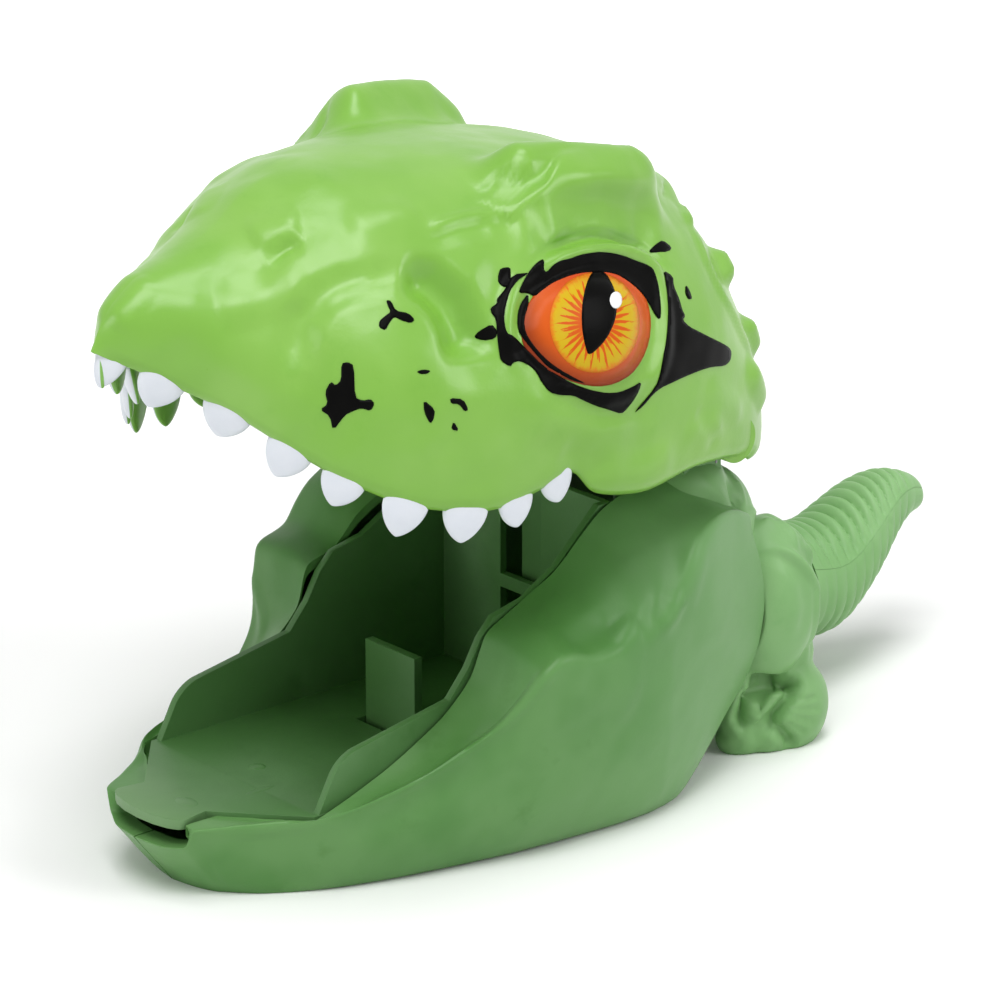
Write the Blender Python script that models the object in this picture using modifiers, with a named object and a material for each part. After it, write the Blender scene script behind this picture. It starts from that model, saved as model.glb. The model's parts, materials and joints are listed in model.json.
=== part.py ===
"""A snapping dinosaur toy that stands on a table.

A hollow lower jaw of two casing halves holds a car-sized tray. The upper head, one thin shell with
moulded teeth, swings on a cross pin and is held open by a torsion spring. Pressing the tail turns a
long lever under the tray, and its front end lifts the back arm of a kicker whose paddle stands in the
tray floor. The animal looks along -Y, its left side is +X, and it stands on z = 0.
"""

import math

import bmesh
import bpy
from mathutils import Matrix, Vector

# Every size is in millimetres, and MM turns it into metres where a mesh is made.
MM = 0.001

# Fits and walls
CLEARANCE = 0.3
CASING_WALL = 2.2
HEAD_WALL = 2.0
BODY_WALL = 2.0
TAIL_WALL = 1.8
SINK = 0.8
# Keeps two faces that would lie in one plane a little apart, and lets a cutter reach past a face
NUDGE = 0.1
OVERSHOOT = 1.0

# Mouth tray
TRAY_WIDTH = 50.0
TRAY_WALL = 1.8
TRAY_FLOOR_TOP = 17.8
TRAY_FLOOR_THICK = 2.0
TRAY_FRONT = -82.0
TRAY_BACK = -4.0
TRAY_SIDE_GAP = 0.6
TONGUE_TIP = -106.0
TONGUE_CORNER = (11.0, -102.5)
TONGUE_NOTCH = (10.0, -96.5)
TRAY_WALL_TOP = ((-75.0, 28.5), (-46.5, 33.4), (-41.6, 39.0), (-38.2, 44.8), (-34.5, 48.6),
                 (-26.5, 50.3), (-17.5, 55.4), (-6.0, 66.0))
BACK_WALL_TOP = 66.0
BACK_WINDOW_WIDTH = 13.0
BACK_WINDOW_SILL = 21.0
BACK_WINDOW_TOP = 62.0
CROSSBAR_Z = 40.0
CROSSBAR_HEIGHT = 3.0

# Kicker under and in the tray floor
KICKER_Y = -37.0
KICKER_Z = 13.5
KICKER_HUB = 2.1
KICKER_PIN = 1.0
SLOT_LEAN = 30.0
PADDLE_WIDTH = 16.0
PADDLE_THICK = 2.0
PADDLE_TOP = 35.3
PADDLE_FORWARD = 2.0
KICKER_ARM = 12.0
KICKER_ARM_DROP = 26.0
KICKER_ARM_THICK = 2.4
KICKER_ARM_WIDTH = 6.0
KICKER_LUG_THICK = 3.0
KICKER_LUG_HALF = 3.6

# Jaw casing, as stations from the nose to the rear rim:
# bottom y, bottom z, bottom half width, ridge x, ridge y, ridge z, inner edge z
JAW_STATIONS = (
    (-97.5, 0.0, 0.0, 0.0, -107.0, 12.0, 12.0),
    (-96.5, 0.0, 6.0, 6.8, -106.2, 12.0, 12.0),
    (-94.5, 0.0, 11.0, 12.0, -103.8, 12.2, 12.2),
    (-93.5, 0.0, 12.0, 14.4, -102.4, 15.4, 15.8),
    (-89.5, 0.0, 16.5, 18.6, -95.5, 15.9, 16.2),
    (-84.0, 0.0, 20.5, 23.4, -88.0, 16.6, 16.6),
    (-76.0, 0.0, 24.5, 29.0, -82.0, 18.2, 17.4),
    (-64.0, 0.0, 28.5, 35.4, -66.5, 22.6, 22.4),
    (-48.0, 0.0, 32.3, 42.0, -48.5, 31.8, 31.0),
    (-41.0, 0.0, 33.6, 45.3, -41.5, 38.0, 37.6),
    (-36.0, 0.0, 34.5, 47.3, -37.2, 43.6, 46.0),
    (-31.0, 0.0, 35.2, 48.0, -32.8, 45.2, 48.4),
    (-18.0, 0.0, 36.7, 48.2, -19.7, 43.2, 54.4),
    (-9.0, 0.0, 37.5, 47.9, -11.0, 46.2, 61.4),
    (-3.0, 0.0, 37.5, 47.4, -5.0, 47.6, 65.6),
    (1.0, 0.0, 37.0, 46.6, -1.0, 52.0, 67.0),
    (6.0, 0.3, 36.3, 45.0, 5.5, 60.0, 67.5),
    (14.0, 2.2, 33.0, 41.8, 14.5, 63.0, 67.5),
    (22.0, 5.5, 29.0, 38.5, 22.0, 61.5, 66.5),
    (28.0, 9.0, 25.0, 36.0, 28.0, 58.5, 64.0),
)
NOSE_STATIONS = 3
NOSE_LEDGE = 5.0
LEDGE_SAG = 2.0
LEDGE_SWELL = 2.5
SWELL_STATIONS = (8, 12, 14, 18)
JAW_REAR_SWELL = 9.0
JAW_REAR_STATIONS = 4

# Head hinge
HINGE_Y = 20.0
HINGE_Z = 78.0
HINGE_PIN = 1.6
HINGE_PIN_HALF = 38.0
TOWER_INNER = 25.5
TOWER_OUTER = 30.5
TOWER_RADIUS = 6.0
TOWER_FOOT_Z = 52.0
HEAD_BOSS = 5.0
HEAD_BOSS_INNER = 36.0
HEAD_BOSS_OUTER = 40.6

# Head shell, as stations from the snout to the nape: spine y, spine z, lip x, lip y, lip z,
# and the share of the head's roundness that its section has there
HEAD_STATIONS = (
    (-112.0, 119.5, 0.0, -114.2, 115.4, 0.89),
    (-108.5, 123.5, 6.5, -107.6, 111.0, 0.85),
    (-102.5, 127.8, 13.0, -98.0, 104.3, 0.81),
    (-94.0, 130.5, 21.0, -92.1, 98.8, 0.74),
    (-84.5, 134.5, 29.0, -86.2, 92.4, 0.69),
    (-75.0, 139.8, 37.0, -80.3, 88.1, 0.72),
    (-63.5, 143.0, 43.5, -73.2, 85.1, 0.78),
    (-50.0, 144.3, 48.0, -64.3, 83.0, 0.82),
    (-37.0, 144.0, 51.0, -54.1, 82.3, 0.89),
    (-24.5, 142.8, 51.5, -44.1, 83.6, 0.96),
    (-12.0, 140.5, 51.5, -34.9, 85.5, 0.96),
    (1.0, 137.8, 51.5, -28.2, 79.3, 0.93),
    (14.0, 132.5, 50.5, -13.8, 77.5, 0.87),
    (27.0, 123.5, 47.5, 2.7, 75.0, 0.76),
    (38.0, 110.5, 42.0, 19.5, 73.0, 0.65),
    (46.5, 95.5, 34.0, 30.5, 69.3, 0.61),
    (53.0, 80.0, 22.0, 42.5, 64.8, 0.61),
    (56.5, 66.0, 0.0, 55.0, 61.5, 0.74),
)
HEAD_ROUNDNESS = 2.7
HEAD_ROWS = 16
HEAD_STEPS_PER_STATION = 3
BROW_X = 28.0
BROW_SPREAD = 6.0
BROW_SLANT = 0.5
BROW_HALF_WIDTH = 8.5
BROW_FRONT = -38.0
BROW_REAR = 10.5
BROW_SLOPE = 9.0
BROW_HEIGHT = 10.4
BROW_FRONT_SHARE = 0.8
BROW_LOW = 121.5
BROW_HIGH = 131.5
EYE_CENTRE = (47.0, -26.0, 113.5)
EYE_RADIUS = 13.0
EYE_BULGE = 3.6
CHEEK_CENTRE = (45.0, -73.0, 113.0)
CHEEK_RADIUS = 19.0
CHEEK_BULGE = 3.0
# Hollow behind the cheek, outer end of the brow and the scutes of the nape: places, radius and height
HEAD_FOLDS = (
    (((31.0, -64.0, 128.0), (38.0, -56.5, 124.0), (45.0, -55.5, 114.0)), 9.0, -2.2),
    (((32.0, -1.0, 138.0), (35.0, -3.0, 134.0), (26.0, 14.0, 126.0)), 8.0, 2.0),
    (((24.0, 29.0, 110.5), (25.5, 30.0, 107.0)), 6.0, 2.4),
    (((32.5, 28.5, 98.5), (33.0, 29.5, 95.0)), 6.0, 2.2),
    (((34.5, 32.0, 88.0), (34.0, 33.5, 84.0)), 6.5, 1.8),
)
# Middle line of the head that its folds stand out from: front y, rear y and z
HEAD_CORE = (-70.0, 0.0, 100.0)

# Teeth along each side of the lip: place in station numbers, and width
TEETH = ((0.66, 4.4), (1.36, 8.0), (2.42, 9.4), (3.66, 9.2), (4.76, 8.8),
         (6.0, 8.8), (7.3, 8.8), (8.42, 8.4), (9.5, 8.4))
TOOTH_HEIGHT = 7.6
TOOTH_THICK = 2.6
TOOTH_ROOT = 1.6
TOOTH_INSET = 0.2
TOOTH_SIDES = 10
LIP_STEP = 0.25
# Width of a tooth at steps of its height, from its root to its rounded tip
TOOTH_TAPER = ((0.0, 1.0), (0.45, 0.92), (0.75, 0.68), (0.93, 0.38), (1.0, 0.16))

# Torsion spring beside the left tower
HEAD_SPRING_WIRE = 0.5
HEAD_SPRING_RADIUS = 2.6
HEAD_SPRING_TURNS = 4
HEAD_SPRING_PITCH = 1.0
HEAD_SPRING_LEG = 8.0

# Hind body, as stations from the casing to the tail: y, half width, bottom z, top z
BODY_STATIONS = (
    (28.3, 31.6, 9.4, 64.5),
    (36.0, 31.0, 10.0, 62.0),
    (45.0, 28.4, 11.0, 54.0),
    (55.0, 23.0, 11.6, 44.5),
    (63.0, 18.2, 11.8, 39.8),
    (69.4, 15.6, 11.0, 38.2),
)
BODY_RINGS = 10
BODY_ROUNDNESS = 2.3
BODY_REAR_LEAN = 2.2
THIGH = ((30.5, 40.0, 32.0), (10.0, 12.5, 17.5))
SHANK = ((28.0, 46.5, 10.0), (8.0, 11.0, 10.0))
FOOT = ((27.0, 39.0, 3.2), (7.0, 12.0, 6.0))

LIMB_SIDES = 14
LIMB_RINGS = 8
LIMB_GAP = 0.9

# Tail and its lever, with stations of the tail: y, centre z, half width, half height
TAIL_STATIONS = (
    (70.2, 24.6, 15.4, 13.5),
    (80.0, 25.6, 13.2, 12.9),
    (90.0, 30.2, 10.6, 10.8),
    (100.0, 35.2, 8.0, 7.6),
    (108.0, 36.8, 5.4, 5.0),
    (115.2, 36.0, 2.2, 2.0),
)
TAIL_CAVITY_END = 100.0
TAIL_PIVOT_Y = 44.0
TAIL_PIVOT_Z = 26.0
TAIL_HUB = 5.0
TAIL_HUB_HALF = 5.2
TAIL_PIN = 1.5
TAIL_PIN_HALF = 20.0
LEVER_HALF_WIDTH = 3.0
LEVER_THICK = 3.0
LEVER_REACH = 1.2
LEVER_KNEE = 13.0
LEVER_RISE = 2.0
LEVER_ABOVE = 3.0
LEVER_BELOW = 5.0
# Where the lever's web follows the tail's floor, in station numbers of the tail
LEVER_WEB = (1.4, 1.0, 0.6, 0.2)
RETURN_SPRING_Y = 60.0
RETURN_SPRING_WIRE = 0.8
RETURN_SPRING_RADIUS = 3.2
RETURN_SPRING_TURNS = 4

# Fasteners and the bosses that take them
SCREW_SHANK = 1.2
SCREW_HEAD = 2.5
SCREW_HEAD_THICK = 1.8
SCREW_RECESS = 0.6
PILOT_EASE = 0.15
BOSS_RADIUS = 4.5
POST_RADIUS = 3.0
TRAY_SCREW_INSET = 5.0
TRAY_SCREW_YS = (-66.0, -14.0)
TRAY_SCREW_LENGTH = 10.0
CASING_SCREWS = (("casing_screw_front", -74.0, 8.0), ("casing_screw_rear", 12.0, 33.0))
HIND_SCREWS = (("hind_screw_upper", 34.0, 52.5), ("hind_screw_lower", 50.0, 38.0))
CROSS_SCREW_SEAT = 12.0
CROSS_SCREW_LENGTH = 20.0

# Sides of a round form, and steps in a turn of a coil
ROUND = 24
COIL_STEPS = 12
RING_STEPS = 12

PARTS = bpy.data.collections.new("snapping_dinosaur")
CUTTERS = bpy.data.collections.new("cutters")


# Scene and object helpers

def clear_scene():
    for old in list(bpy.data.objects):
        bpy.data.objects.remove(old, do_unlink=True)
    for group in (PARTS, CUTTERS):
        bpy.context.scene.collection.children.link(group)


def plastic(name, colour, roughness=0.4, metallic=0.0):
    finish = bpy.data.materials.new(name)
    finish.use_nodes = True
    shader = finish.node_tree.nodes["Principled BSDF"]
    shader.inputs["Base Color"].default_value = (*colour, 1.0)
    shader.inputs["Roughness"].default_value = roughness
    shader.inputs["Metallic"].default_value = metallic
    return finish


def axis_empty(name, y, z):
    """An empty on a joint axis, which the moving pieces are parented to."""
    empty = bpy.data.objects.new(name, None)
    empty.location = (0.0, y * MM, z * MM)
    empty.empty_display_size = HINGE_PIN * MM
    PARTS.objects.link(empty)
    return empty


def add_part(name, form, finish, axis=None):
    """A finished piece from a bmesh in millimetres."""
    mesh = to_mesh(name, form)
    mesh.materials.append(finish)
    part = bpy.data.objects.new(name, mesh)
    PARTS.objects.link(part)
    if axis is not None:
        hang_on(part, axis)
    return part


def hang_on(part, axis):
    part.parent = axis
    part.matrix_parent_inverse = Matrix.Translation(-Vector(axis.location))


def to_mesh(name, form):
    bmesh.ops.scale(form, vec=(MM, MM, MM), verts=form.verts)
    if all(len(edge.link_faces) == 2 for edge in form.edges):
        bmesh.ops.recalc_face_normals(form, faces=form.faces)
    mesh = bpy.data.meshes.new(name)
    form.to_mesh(mesh)
    form.free()
    mesh.shade_smooth()
    mesh.set_sharp_from_angle(angle=math.radians(35))
    return mesh


def cut(part, operation, name, form):
    """Joins a form to a part, or takes it away, with a Boolean whose operand stays in the cutters."""
    tool = bpy.data.objects.new(name, to_mesh(name, form))
    tool.hide_render = True
    tool.display_type = "WIRE"
    CUTTERS.objects.link(tool)
    step = part.modifiers.new(name, "BOOLEAN")
    step.operation = operation
    step.object = tool
    step.solver = "EXACT"


def join_form(part, name, form):
    cut(part, "UNION", name, form)


def take_away(part, name, form):
    cut(part, "DIFFERENCE", name, form)


# Simple forms, as bmeshes in millimetres

def box(x0, x1, y0, y1, z0, z1):
    form = bmesh.new()
    centre = Vector(((x0 + x1) / 2, (y0 + y1) / 2, (z0 + z1) / 2))
    size = Matrix.Diagonal((abs(x1 - x0), abs(y1 - y0), abs(z1 - z0), 1.0))
    bmesh.ops.create_cube(form, size=1.0, matrix=Matrix.Translation(centre) @ size)
    return form


def rod(start, end, radius, segments=ROUND):
    """A round bar between two points."""
    form = bmesh.new()
    along = Vector(end) - Vector(start)
    turn = along.to_track_quat("Z", "Y").to_matrix().to_4x4()
    place = Matrix.Translation((Vector(start) + Vector(end)) / 2) @ turn
    bmesh.ops.create_cone(form, cap_ends=True, segments=segments, radius1=radius, radius2=radius,
                          depth=along.length, matrix=place)
    return form


def cross_rod(x0, x1, y, z, radius, segments=ROUND):
    return rod((x0, y, z), (x1, y, z), radius, segments)


def egg(centre, radii):
    """An ellipsoid, flattened where it stands on the floor and where it meets the casing in front."""
    form = bmesh.new()
    place = Matrix.Translation(centre) @ Matrix.Diagonal((*radii, 1.0))
    bmesh.ops.create_uvsphere(form, u_segments=LIMB_SIDES, v_segments=LIMB_RINGS, radius=1.0, matrix=place)
    for vert in form.verts:
        vert.co.z = max(vert.co.z, 0.0)
        vert.co.y = max(vert.co.y, casing_rear(vert.co.z) + LIMB_GAP)
    bmesh.ops.remove_doubles(form, verts=form.verts, dist=0.05)
    bmesh.ops.dissolve_degenerate(form, dist=0.01, edges=form.edges)
    return form


def plate_across(outline, x0, x1):
    """A plate with an outline in y and z, from x0 to x1."""
    form = bmesh.new()
    rim = [form.verts.new((x0, y, z)) for y, z in outline]
    face = form.faces.new(rim)
    raised = bmesh.ops.extrude_face_region(form, geom=[face])["geom"]
    moved = [item for item in raised if isinstance(item, bmesh.types.BMVert)]
    bmesh.ops.translate(form, vec=(x1 - x0, 0, 0), verts=moved)
    return form


def plate_flat(outline, z0, z1):
    """A plate with an outline in x and y, from z0 to z1."""
    form = bmesh.new()
    rim = [form.verts.new((x, y, z0)) for x, y in outline]
    face = form.faces.new(rim)
    raised = bmesh.ops.extrude_face_region(form, geom=[face])["geom"]
    moved = [item for item in raised if isinstance(item, bmesh.types.BMVert)]
    bmesh.ops.translate(form, vec=(0, 0, z1 - z0), verts=moved)
    return form


def sheet(rows):
    """An open surface through rows of points."""
    form = bmesh.new()
    grid = [[form.verts.new(point) for point in row] for row in rows]
    for near, far in zip(grid, grid[1:]):
        for i in range(len(near) - 1):
            form.faces.new((near[i], far[i], far[i + 1], near[i + 1]))
    bmesh.ops.remove_doubles(form, verts=form.verts, dist=0.02)
    return form


def add_rings(form, rings):
    """Adds a closed solid through closed rings of points."""
    grid = [[form.verts.new(point) for point in ring] for ring in rings]
    count = len(rings[0])
    for near, far in zip(grid, grid[1:]):
        for i in range(count):
            j = (i + 1) % count
            form.faces.new((near[i], near[j], far[j], far[i]))
    form.faces.new(grid[0])
    form.faces.new(grid[-1])


def solid_loft(rings):
    form = bmesh.new()
    add_rings(form, rings)
    bmesh.ops.remove_doubles(form, verts=form.verts, dist=0.02)
    return form


def mirrored(form):
    """The same form on the animal's other side."""
    bmesh.ops.scale(form, vec=(-1, 1, 1), verts=form.verts)
    bmesh.ops.reverse_faces(form, faces=form.faces)
    return form


def pick(form, side):
    return form if side > 0 else mirrored(form)


# Smooth values between hand-chosen stations

def between(stations, at):
    """The values at a fractional station number, on smooth curves through the stations."""
    low = min(int(at), len(stations) - 2)
    f = at - low
    last = len(stations) - 1
    p0, p1 = stations[max(low - 1, 0)], stations[low]
    p2, p3 = stations[low + 1], stations[min(low + 2, last)]
    return tuple(b + 0.5 * f * (c - a + f * (2 * a - 5 * b + 4 * c - d + f * (3 * (b - c) + d - a)))
                 for a, b, c, d in zip(p0, p1, p2, p3))


def power(value, exponent):
    return math.copysign(abs(value) ** exponent, value)


def ramp(low, high, value):
    """A soft step from 0 at low to 1 at high."""
    f = min(max((value - low) / (high - low), 0.0), 1.0)
    return f * f * (3 - 2 * f)


# Mouth tray

def tray_half():
    return TRAY_WIDTH / 2 + TRAY_WALL


def tongue_edge(y):
    """Half the width of the tray floor, from its tip back to the side walls."""
    corner_x, corner_y = TONGUE_CORNER
    notch_x, notch_y = TONGUE_NOTCH
    if y < corner_y:
        return corner_x
    if y < notch_y:
        return corner_x + (notch_x - corner_x) * (y - corner_y) / (notch_y - corner_y)
    if y < TRAY_FRONT:
        return notch_x + (tray_half() - notch_x) * (y - notch_y) / (TRAY_FRONT - notch_y)
    return tray_half()


def tongue_outline():
    """Plan of the tray floor: a rounded tip, a notch on each side, then the straight sides."""
    corner_x, corner_y = TONGUE_CORNER
    depth = corner_y - TONGUE_TIP
    turns = [math.radians(a) for a in (0, 25, 50, 72, 90)]
    tip = [(corner_x * math.sin(a), corner_y - depth * math.cos(a)) for a in turns]
    half = tip + [TONGUE_NOTCH, (tray_half(), TRAY_FRONT), (tray_half(), TRAY_BACK + TRAY_WALL)]
    return half + [(-x, y) for x, y in reversed(half[1:])]


def make_tray(finish):
    underside = TRAY_FLOOR_TOP - TRAY_FLOOR_THICK
    tray = add_part("mouth_tray", plate_flat(tongue_outline(), underside, TRAY_FLOOR_TOP), finish)
    inner = TRAY_WIDTH / 2
    foot = TRAY_FLOOR_TOP - SINK
    side = [(TRAY_FRONT + SINK, foot), *TRAY_WALL_TOP, (TRAY_BACK + SINK, BACK_WALL_TOP),
            (TRAY_BACK + SINK, foot)]
    for sign in (1, -1):
        join_form(tray, "tray_side", plate_across(side, sign * inner, sign * (tray_half() - NUDGE)))
    back_half = tray_half() - CLEARANCE
    back = box(-back_half, back_half, TRAY_BACK, TRAY_BACK + TRAY_WALL - NUDGE,
               foot + NUDGE, BACK_WALL_TOP - NUDGE)
    join_form(tray, "tray_back", back)
    reach = (TRAY_BACK - OVERSHOOT, TRAY_BACK + TRAY_WALL + OVERSHOOT)
    half_window = BACK_WINDOW_WIDTH / 2
    bar_low = CROSSBAR_Z - CROSSBAR_HEIGHT / 2
    bar_high = CROSSBAR_Z + CROSSBAR_HEIGHT / 2
    for low, high in ((BACK_WINDOW_SILL, bar_low), (bar_high, BACK_WINDOW_TOP)):
        take_away(tray, "tray_window", box(-half_window, half_window, *reach, low, high))
    add_tray_posts(tray, underside)
    add_kicker_seat(tray, underside)
    return tray


def tray_screw_x():
    return TRAY_WIDTH / 2 - TRAY_SCREW_INSET


def casing_boss_top():
    return SCREW_RECESS + SCREW_HEAD_THICK + CLEARANCE + CASING_WALL + CLEARANCE


def add_tray_posts(tray, underside):
    """Posts under the floor that stand on the casing and take the screws from below."""
    foot = casing_boss_top() + CLEARANCE
    tip = SCREW_RECESS + SCREW_HEAD_THICK + TRAY_SCREW_LENGTH
    for x in (tray_screw_x(), -tray_screw_x()):
        for y in TRAY_SCREW_YS:
            join_form(tray, "tray_post", rod((x, y, foot), (x, y, underside + SINK), POST_RADIUS, 16))
            pilot = rod((x, y, foot - OVERSHOOT), (x, y, tip + CLEARANCE), SCREW_SHANK + PILOT_EASE, 12)
            take_away(tray, "tray_pilot", pilot)


def add_kicker_seat(tray, underside):
    """Two lugs that carry the kicker pin, and the slot that its paddle stands in."""
    lug_inner = PADDLE_WIDTH / 2 + 2 * CLEARANCE
    lug_outer = lug_inner + KICKER_LUG_THICK
    half = KICKER_LUG_HALF
    for sign in (1, -1):
        lug = box(sign * lug_inner, sign * lug_outer, KICKER_Y - half, KICKER_Y + half,
                  KICKER_Z - half, underside + SINK)
        join_form(tray, "kicker_lug", lug)
    bore_half = lug_outer + OVERSHOOT
    bore = cross_rod(-bore_half, bore_half, KICKER_Y, KICKER_Z, KICKER_PIN + CLEARANCE, 16)
    take_away(tray, "kicker_bore", bore)
    lean = math.radians(SLOT_LEAN)
    rise = TRAY_FLOOR_TOP - KICKER_Z
    reach = PADDLE_FORWARD + PADDLE_THICK / 2
    slot_front = KICKER_Y - reach * math.cos(lean) - rise * math.sin(lean) - 2 * CLEARANCE
    slot_rear = KICKER_Y + KICKER_HUB + 2 * CLEARANCE
    slot_half = PADDLE_WIDTH / 2 + CLEARANCE
    slot = box(-slot_half, slot_half, slot_front, slot_rear, underside - NUDGE, TRAY_FLOOR_TOP + OVERSHOOT)
    take_away(tray, "kicker_slot", slot)


# Kicker

def make_kicker(finish, steel, axis):
    half = PADDLE_WIDTH / 2
    kicker = add_part("launch_kicker", cross_rod(-half, half, KICKER_Y, KICKER_Z, KICKER_HUB), finish, axis)
    front = KICKER_Y - PADDLE_FORWARD - PADDLE_THICK / 2
    rear = front + PADDLE_THICK
    foot = KICKER_Z - KICKER_HUB / 4
    heel = KICKER_Z + KICKER_HUB / 4
    blade = [(front, PADDLE_TOP), (rear, PADDLE_TOP), (rear, heel + NUDGE), (KICKER_Y, heel),
             (KICKER_Y, foot), (front, foot)]
    join_form(kicker, "kicker_blade", plate_across(blade, -half + NUDGE, half - NUDGE))
    drop = math.radians(KICKER_ARM_DROP)
    tip = Vector((0, KICKER_Y + KICKER_ARM * math.cos(drop), KICKER_Z - KICKER_ARM * math.sin(drop)))
    root = Vector((0, KICKER_Y, KICKER_Z))
    up = Vector((0, math.sin(drop), math.cos(drop))) * (KICKER_ARM_THICK / 2)
    arm = [(point.y, point.z) for point in (root + up, tip + up, tip - up, root - up)]
    join_form(kicker, "kicker_arm", plate_across(arm, -KICKER_ARM_WIDTH / 2, KICKER_ARM_WIDTH / 2))
    bore_half = half + OVERSHOOT
    bore = cross_rod(-bore_half, bore_half, KICKER_Y, KICKER_Z, KICKER_PIN + CLEARANCE, 16)
    take_away(kicker, "kicker_hub_bore", bore)
    pin_half = half + 2 * CLEARANCE + KICKER_LUG_THICK
    add_part("kicker_pin", cross_rod(-pin_half, pin_half, KICKER_Y, KICKER_Z, KICKER_PIN, 16), steel)


# Jaw casing

def inward_at(number):
    """The way in from the casing's ridge, seen from above."""
    last = len(JAW_STATIONS) - 1
    before, after = JAW_STATIONS[max(number - 1, 0)], JAW_STATIONS[min(number + 1, last)]
    if number == 0:
        return Vector((0, 1, 0))
    return Vector((before[4] - after[4], after[3] - before[3], 0)).normalized()


def jaw_section(number, wall):
    """Points of a half section, set in by a wall, from the floor seam round the side to the tray's edge."""
    bottom_y, bottom_z, bottom_x, ridge_x, ridge_y, ridge_z, inner_z = JAW_STATIONS[number]
    inward = inward_at(number)
    up = Vector((0, 0, wall))
    bottom = Vector((bottom_x, bottom_y, bottom_z)) + inward * wall / 2 + up
    ridge = Vector((ridge_x, ridge_y, ridge_z)) + inward * wall - up
    points = [Vector((bottom.x * f, bottom.y, bottom.z)) for f in (0.0, 0.5, 1.0)]
    for turn in (22, 45, 68, 90):
        a = math.radians(turn)
        rise = 1 - math.cos(a)
        points.append(Vector((bottom.x + (ridge.x - bottom.x) * math.sin(a),
                              bottom.y + (ridge.y - bottom.y) * rise,
                              bottom.z + (ridge.z - bottom.z) * rise)))
    if number < NOSE_STATIONS:
        edge = Vector((ridge_x, ridge_y, ridge_z)) + inward * NOSE_LEDGE - up
        sag = 0.0
    else:
        edge = Vector((tongue_edge(ridge_y) + TRAY_SIDE_GAP, ridge_y, inner_z)) - up
        start, full, fade, end = SWELL_STATIONS
        raised = ramp(start, full, number) * (1 - ramp(fade, end, number))
        sag = LEDGE_SAG - (LEDGE_SAG + LEDGE_SWELL) * raised
    for f in (0.34, 0.67, 1.0):
        points.append(ridge.lerp(edge, f) - Vector((0, 0, sag * math.sin(math.pi * f))))
    last = len(JAW_STATIONS) - 1
    swell = ramp(last - JAW_REAR_STATIONS, last, number)
    for point in points:
        point.x = max(point.x, CLEARANCE / 2)
        point.y += swell * rear_swell(point.z, bottom_z, ridge_z)
    return points


def rear_swell(z, bottom_z, ridge_z):
    """How far the casing's rear rim stands back at a height on its side."""
    low = bottom_z + CASING_WALL
    high = ridge_z - CASING_WALL
    f = min(max((z - low) / (high - low), 0.0), 1.0)
    return JAW_REAR_SWELL * math.sin(math.pi * f)


def casing_rear(z):
    """Rear rim of the casing at a height."""
    bottom_y, bottom_z, _, _, _, ridge_z, _ = JAW_STATIONS[-1]
    return bottom_y + rear_swell(z, bottom_z, ridge_z)


def make_casing(name, side, finish):
    rings = [jaw_section(number, 0.0) + jaw_section(number, CASING_WALL)[::-1]
             for number in range(len(JAW_STATIONS))]
    casing = add_part(name, pick(solid_loft(rings), side), finish)
    add_tray_screw_bosses(casing, side)
    add_hinge_tower(casing, side)
    for _, y, z in CASING_SCREWS:
        add_cross_boss(casing, side, y, z, jaw_wall_x, CASING_WALL)
    return casing


def jaw_wall_x(y, z):
    """Half width of the casing at a height on its side."""
    places = []
    for number in range(NOSE_STATIONS, len(JAW_STATIONS)):
        side_points = jaw_section(number, 0.0)[2:7]
        for low, high in zip(side_points, side_points[1:]):
            if low.z <= z < high.z:
                places.append(low.lerp(high, (z - low.z) / (high.z - low.z)))
    before = max((place for place in places if place.y <= y), key=lambda place: place.y)
    after = min((place for place in places if place.y > y), key=lambda place: place.y)
    return before.lerp(after, (y - before.y) / (after.y - before.y)).x


def add_tray_screw_bosses(casing, side):
    """A boss with a counterbore in the floor for each tray screw."""
    x = tray_screw_x()
    seat = SCREW_RECESS + SCREW_HEAD_THICK + CLEARANCE
    for y in TRAY_SCREW_YS:
        boss = rod((x, y, SINK), (x, y, casing_boss_top()), BOSS_RADIUS, 18)
        join_form(casing, "tray_screw_boss", pick(boss, side))
        counterbore = rod((x, y, -OVERSHOOT), (x, y, seat), SCREW_HEAD + CLEARANCE, 18)
        take_away(casing, "tray_screw_recess", pick(counterbore, side))
        hole = rod((x, y, -OVERSHOOT), (x, y, casing_boss_top() + OVERSHOOT), SCREW_SHANK + CLEARANCE, 12)
        take_away(casing, "tray_screw_hole", pick(hole, side))


def add_cross_boss(part, side, y, z, wall_x, thick):
    """A boss from the side wall to the seam: the right one takes the screw head, the left one its thread."""
    boss = cross_rod(CLEARANCE / 2, wall_x(y, z), y, z, BOSS_RADIUS, 18)
    for vert in boss.verts:
        if vert.co.x > CLEARANCE:
            vert.co.x = wall_x(vert.co.y, vert.co.z) - thick / 2
    join_form(part, "cross_boss", pick(boss, side))
    tip = CROSS_SCREW_LENGTH - CROSS_SCREW_SEAT + CLEARANCE
    if side > 0:
        take_away(part, "cross_pilot", cross_rod(-OVERSHOOT, tip, y, z, SCREW_SHANK + PILOT_EASE, 12))
        return
    through = -wall_x(y, z) - 2 * BOSS_RADIUS
    take_away(part, "cross_hole", cross_rod(OVERSHOOT, through, y, z, SCREW_SHANK + CLEARANCE, 12))
    recess = cross_rod(-CROSS_SCREW_SEAT + CLEARANCE, through, y, z, SCREW_HEAD + CLEARANCE, 18)
    take_away(part, "cross_recess", recess)


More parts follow.
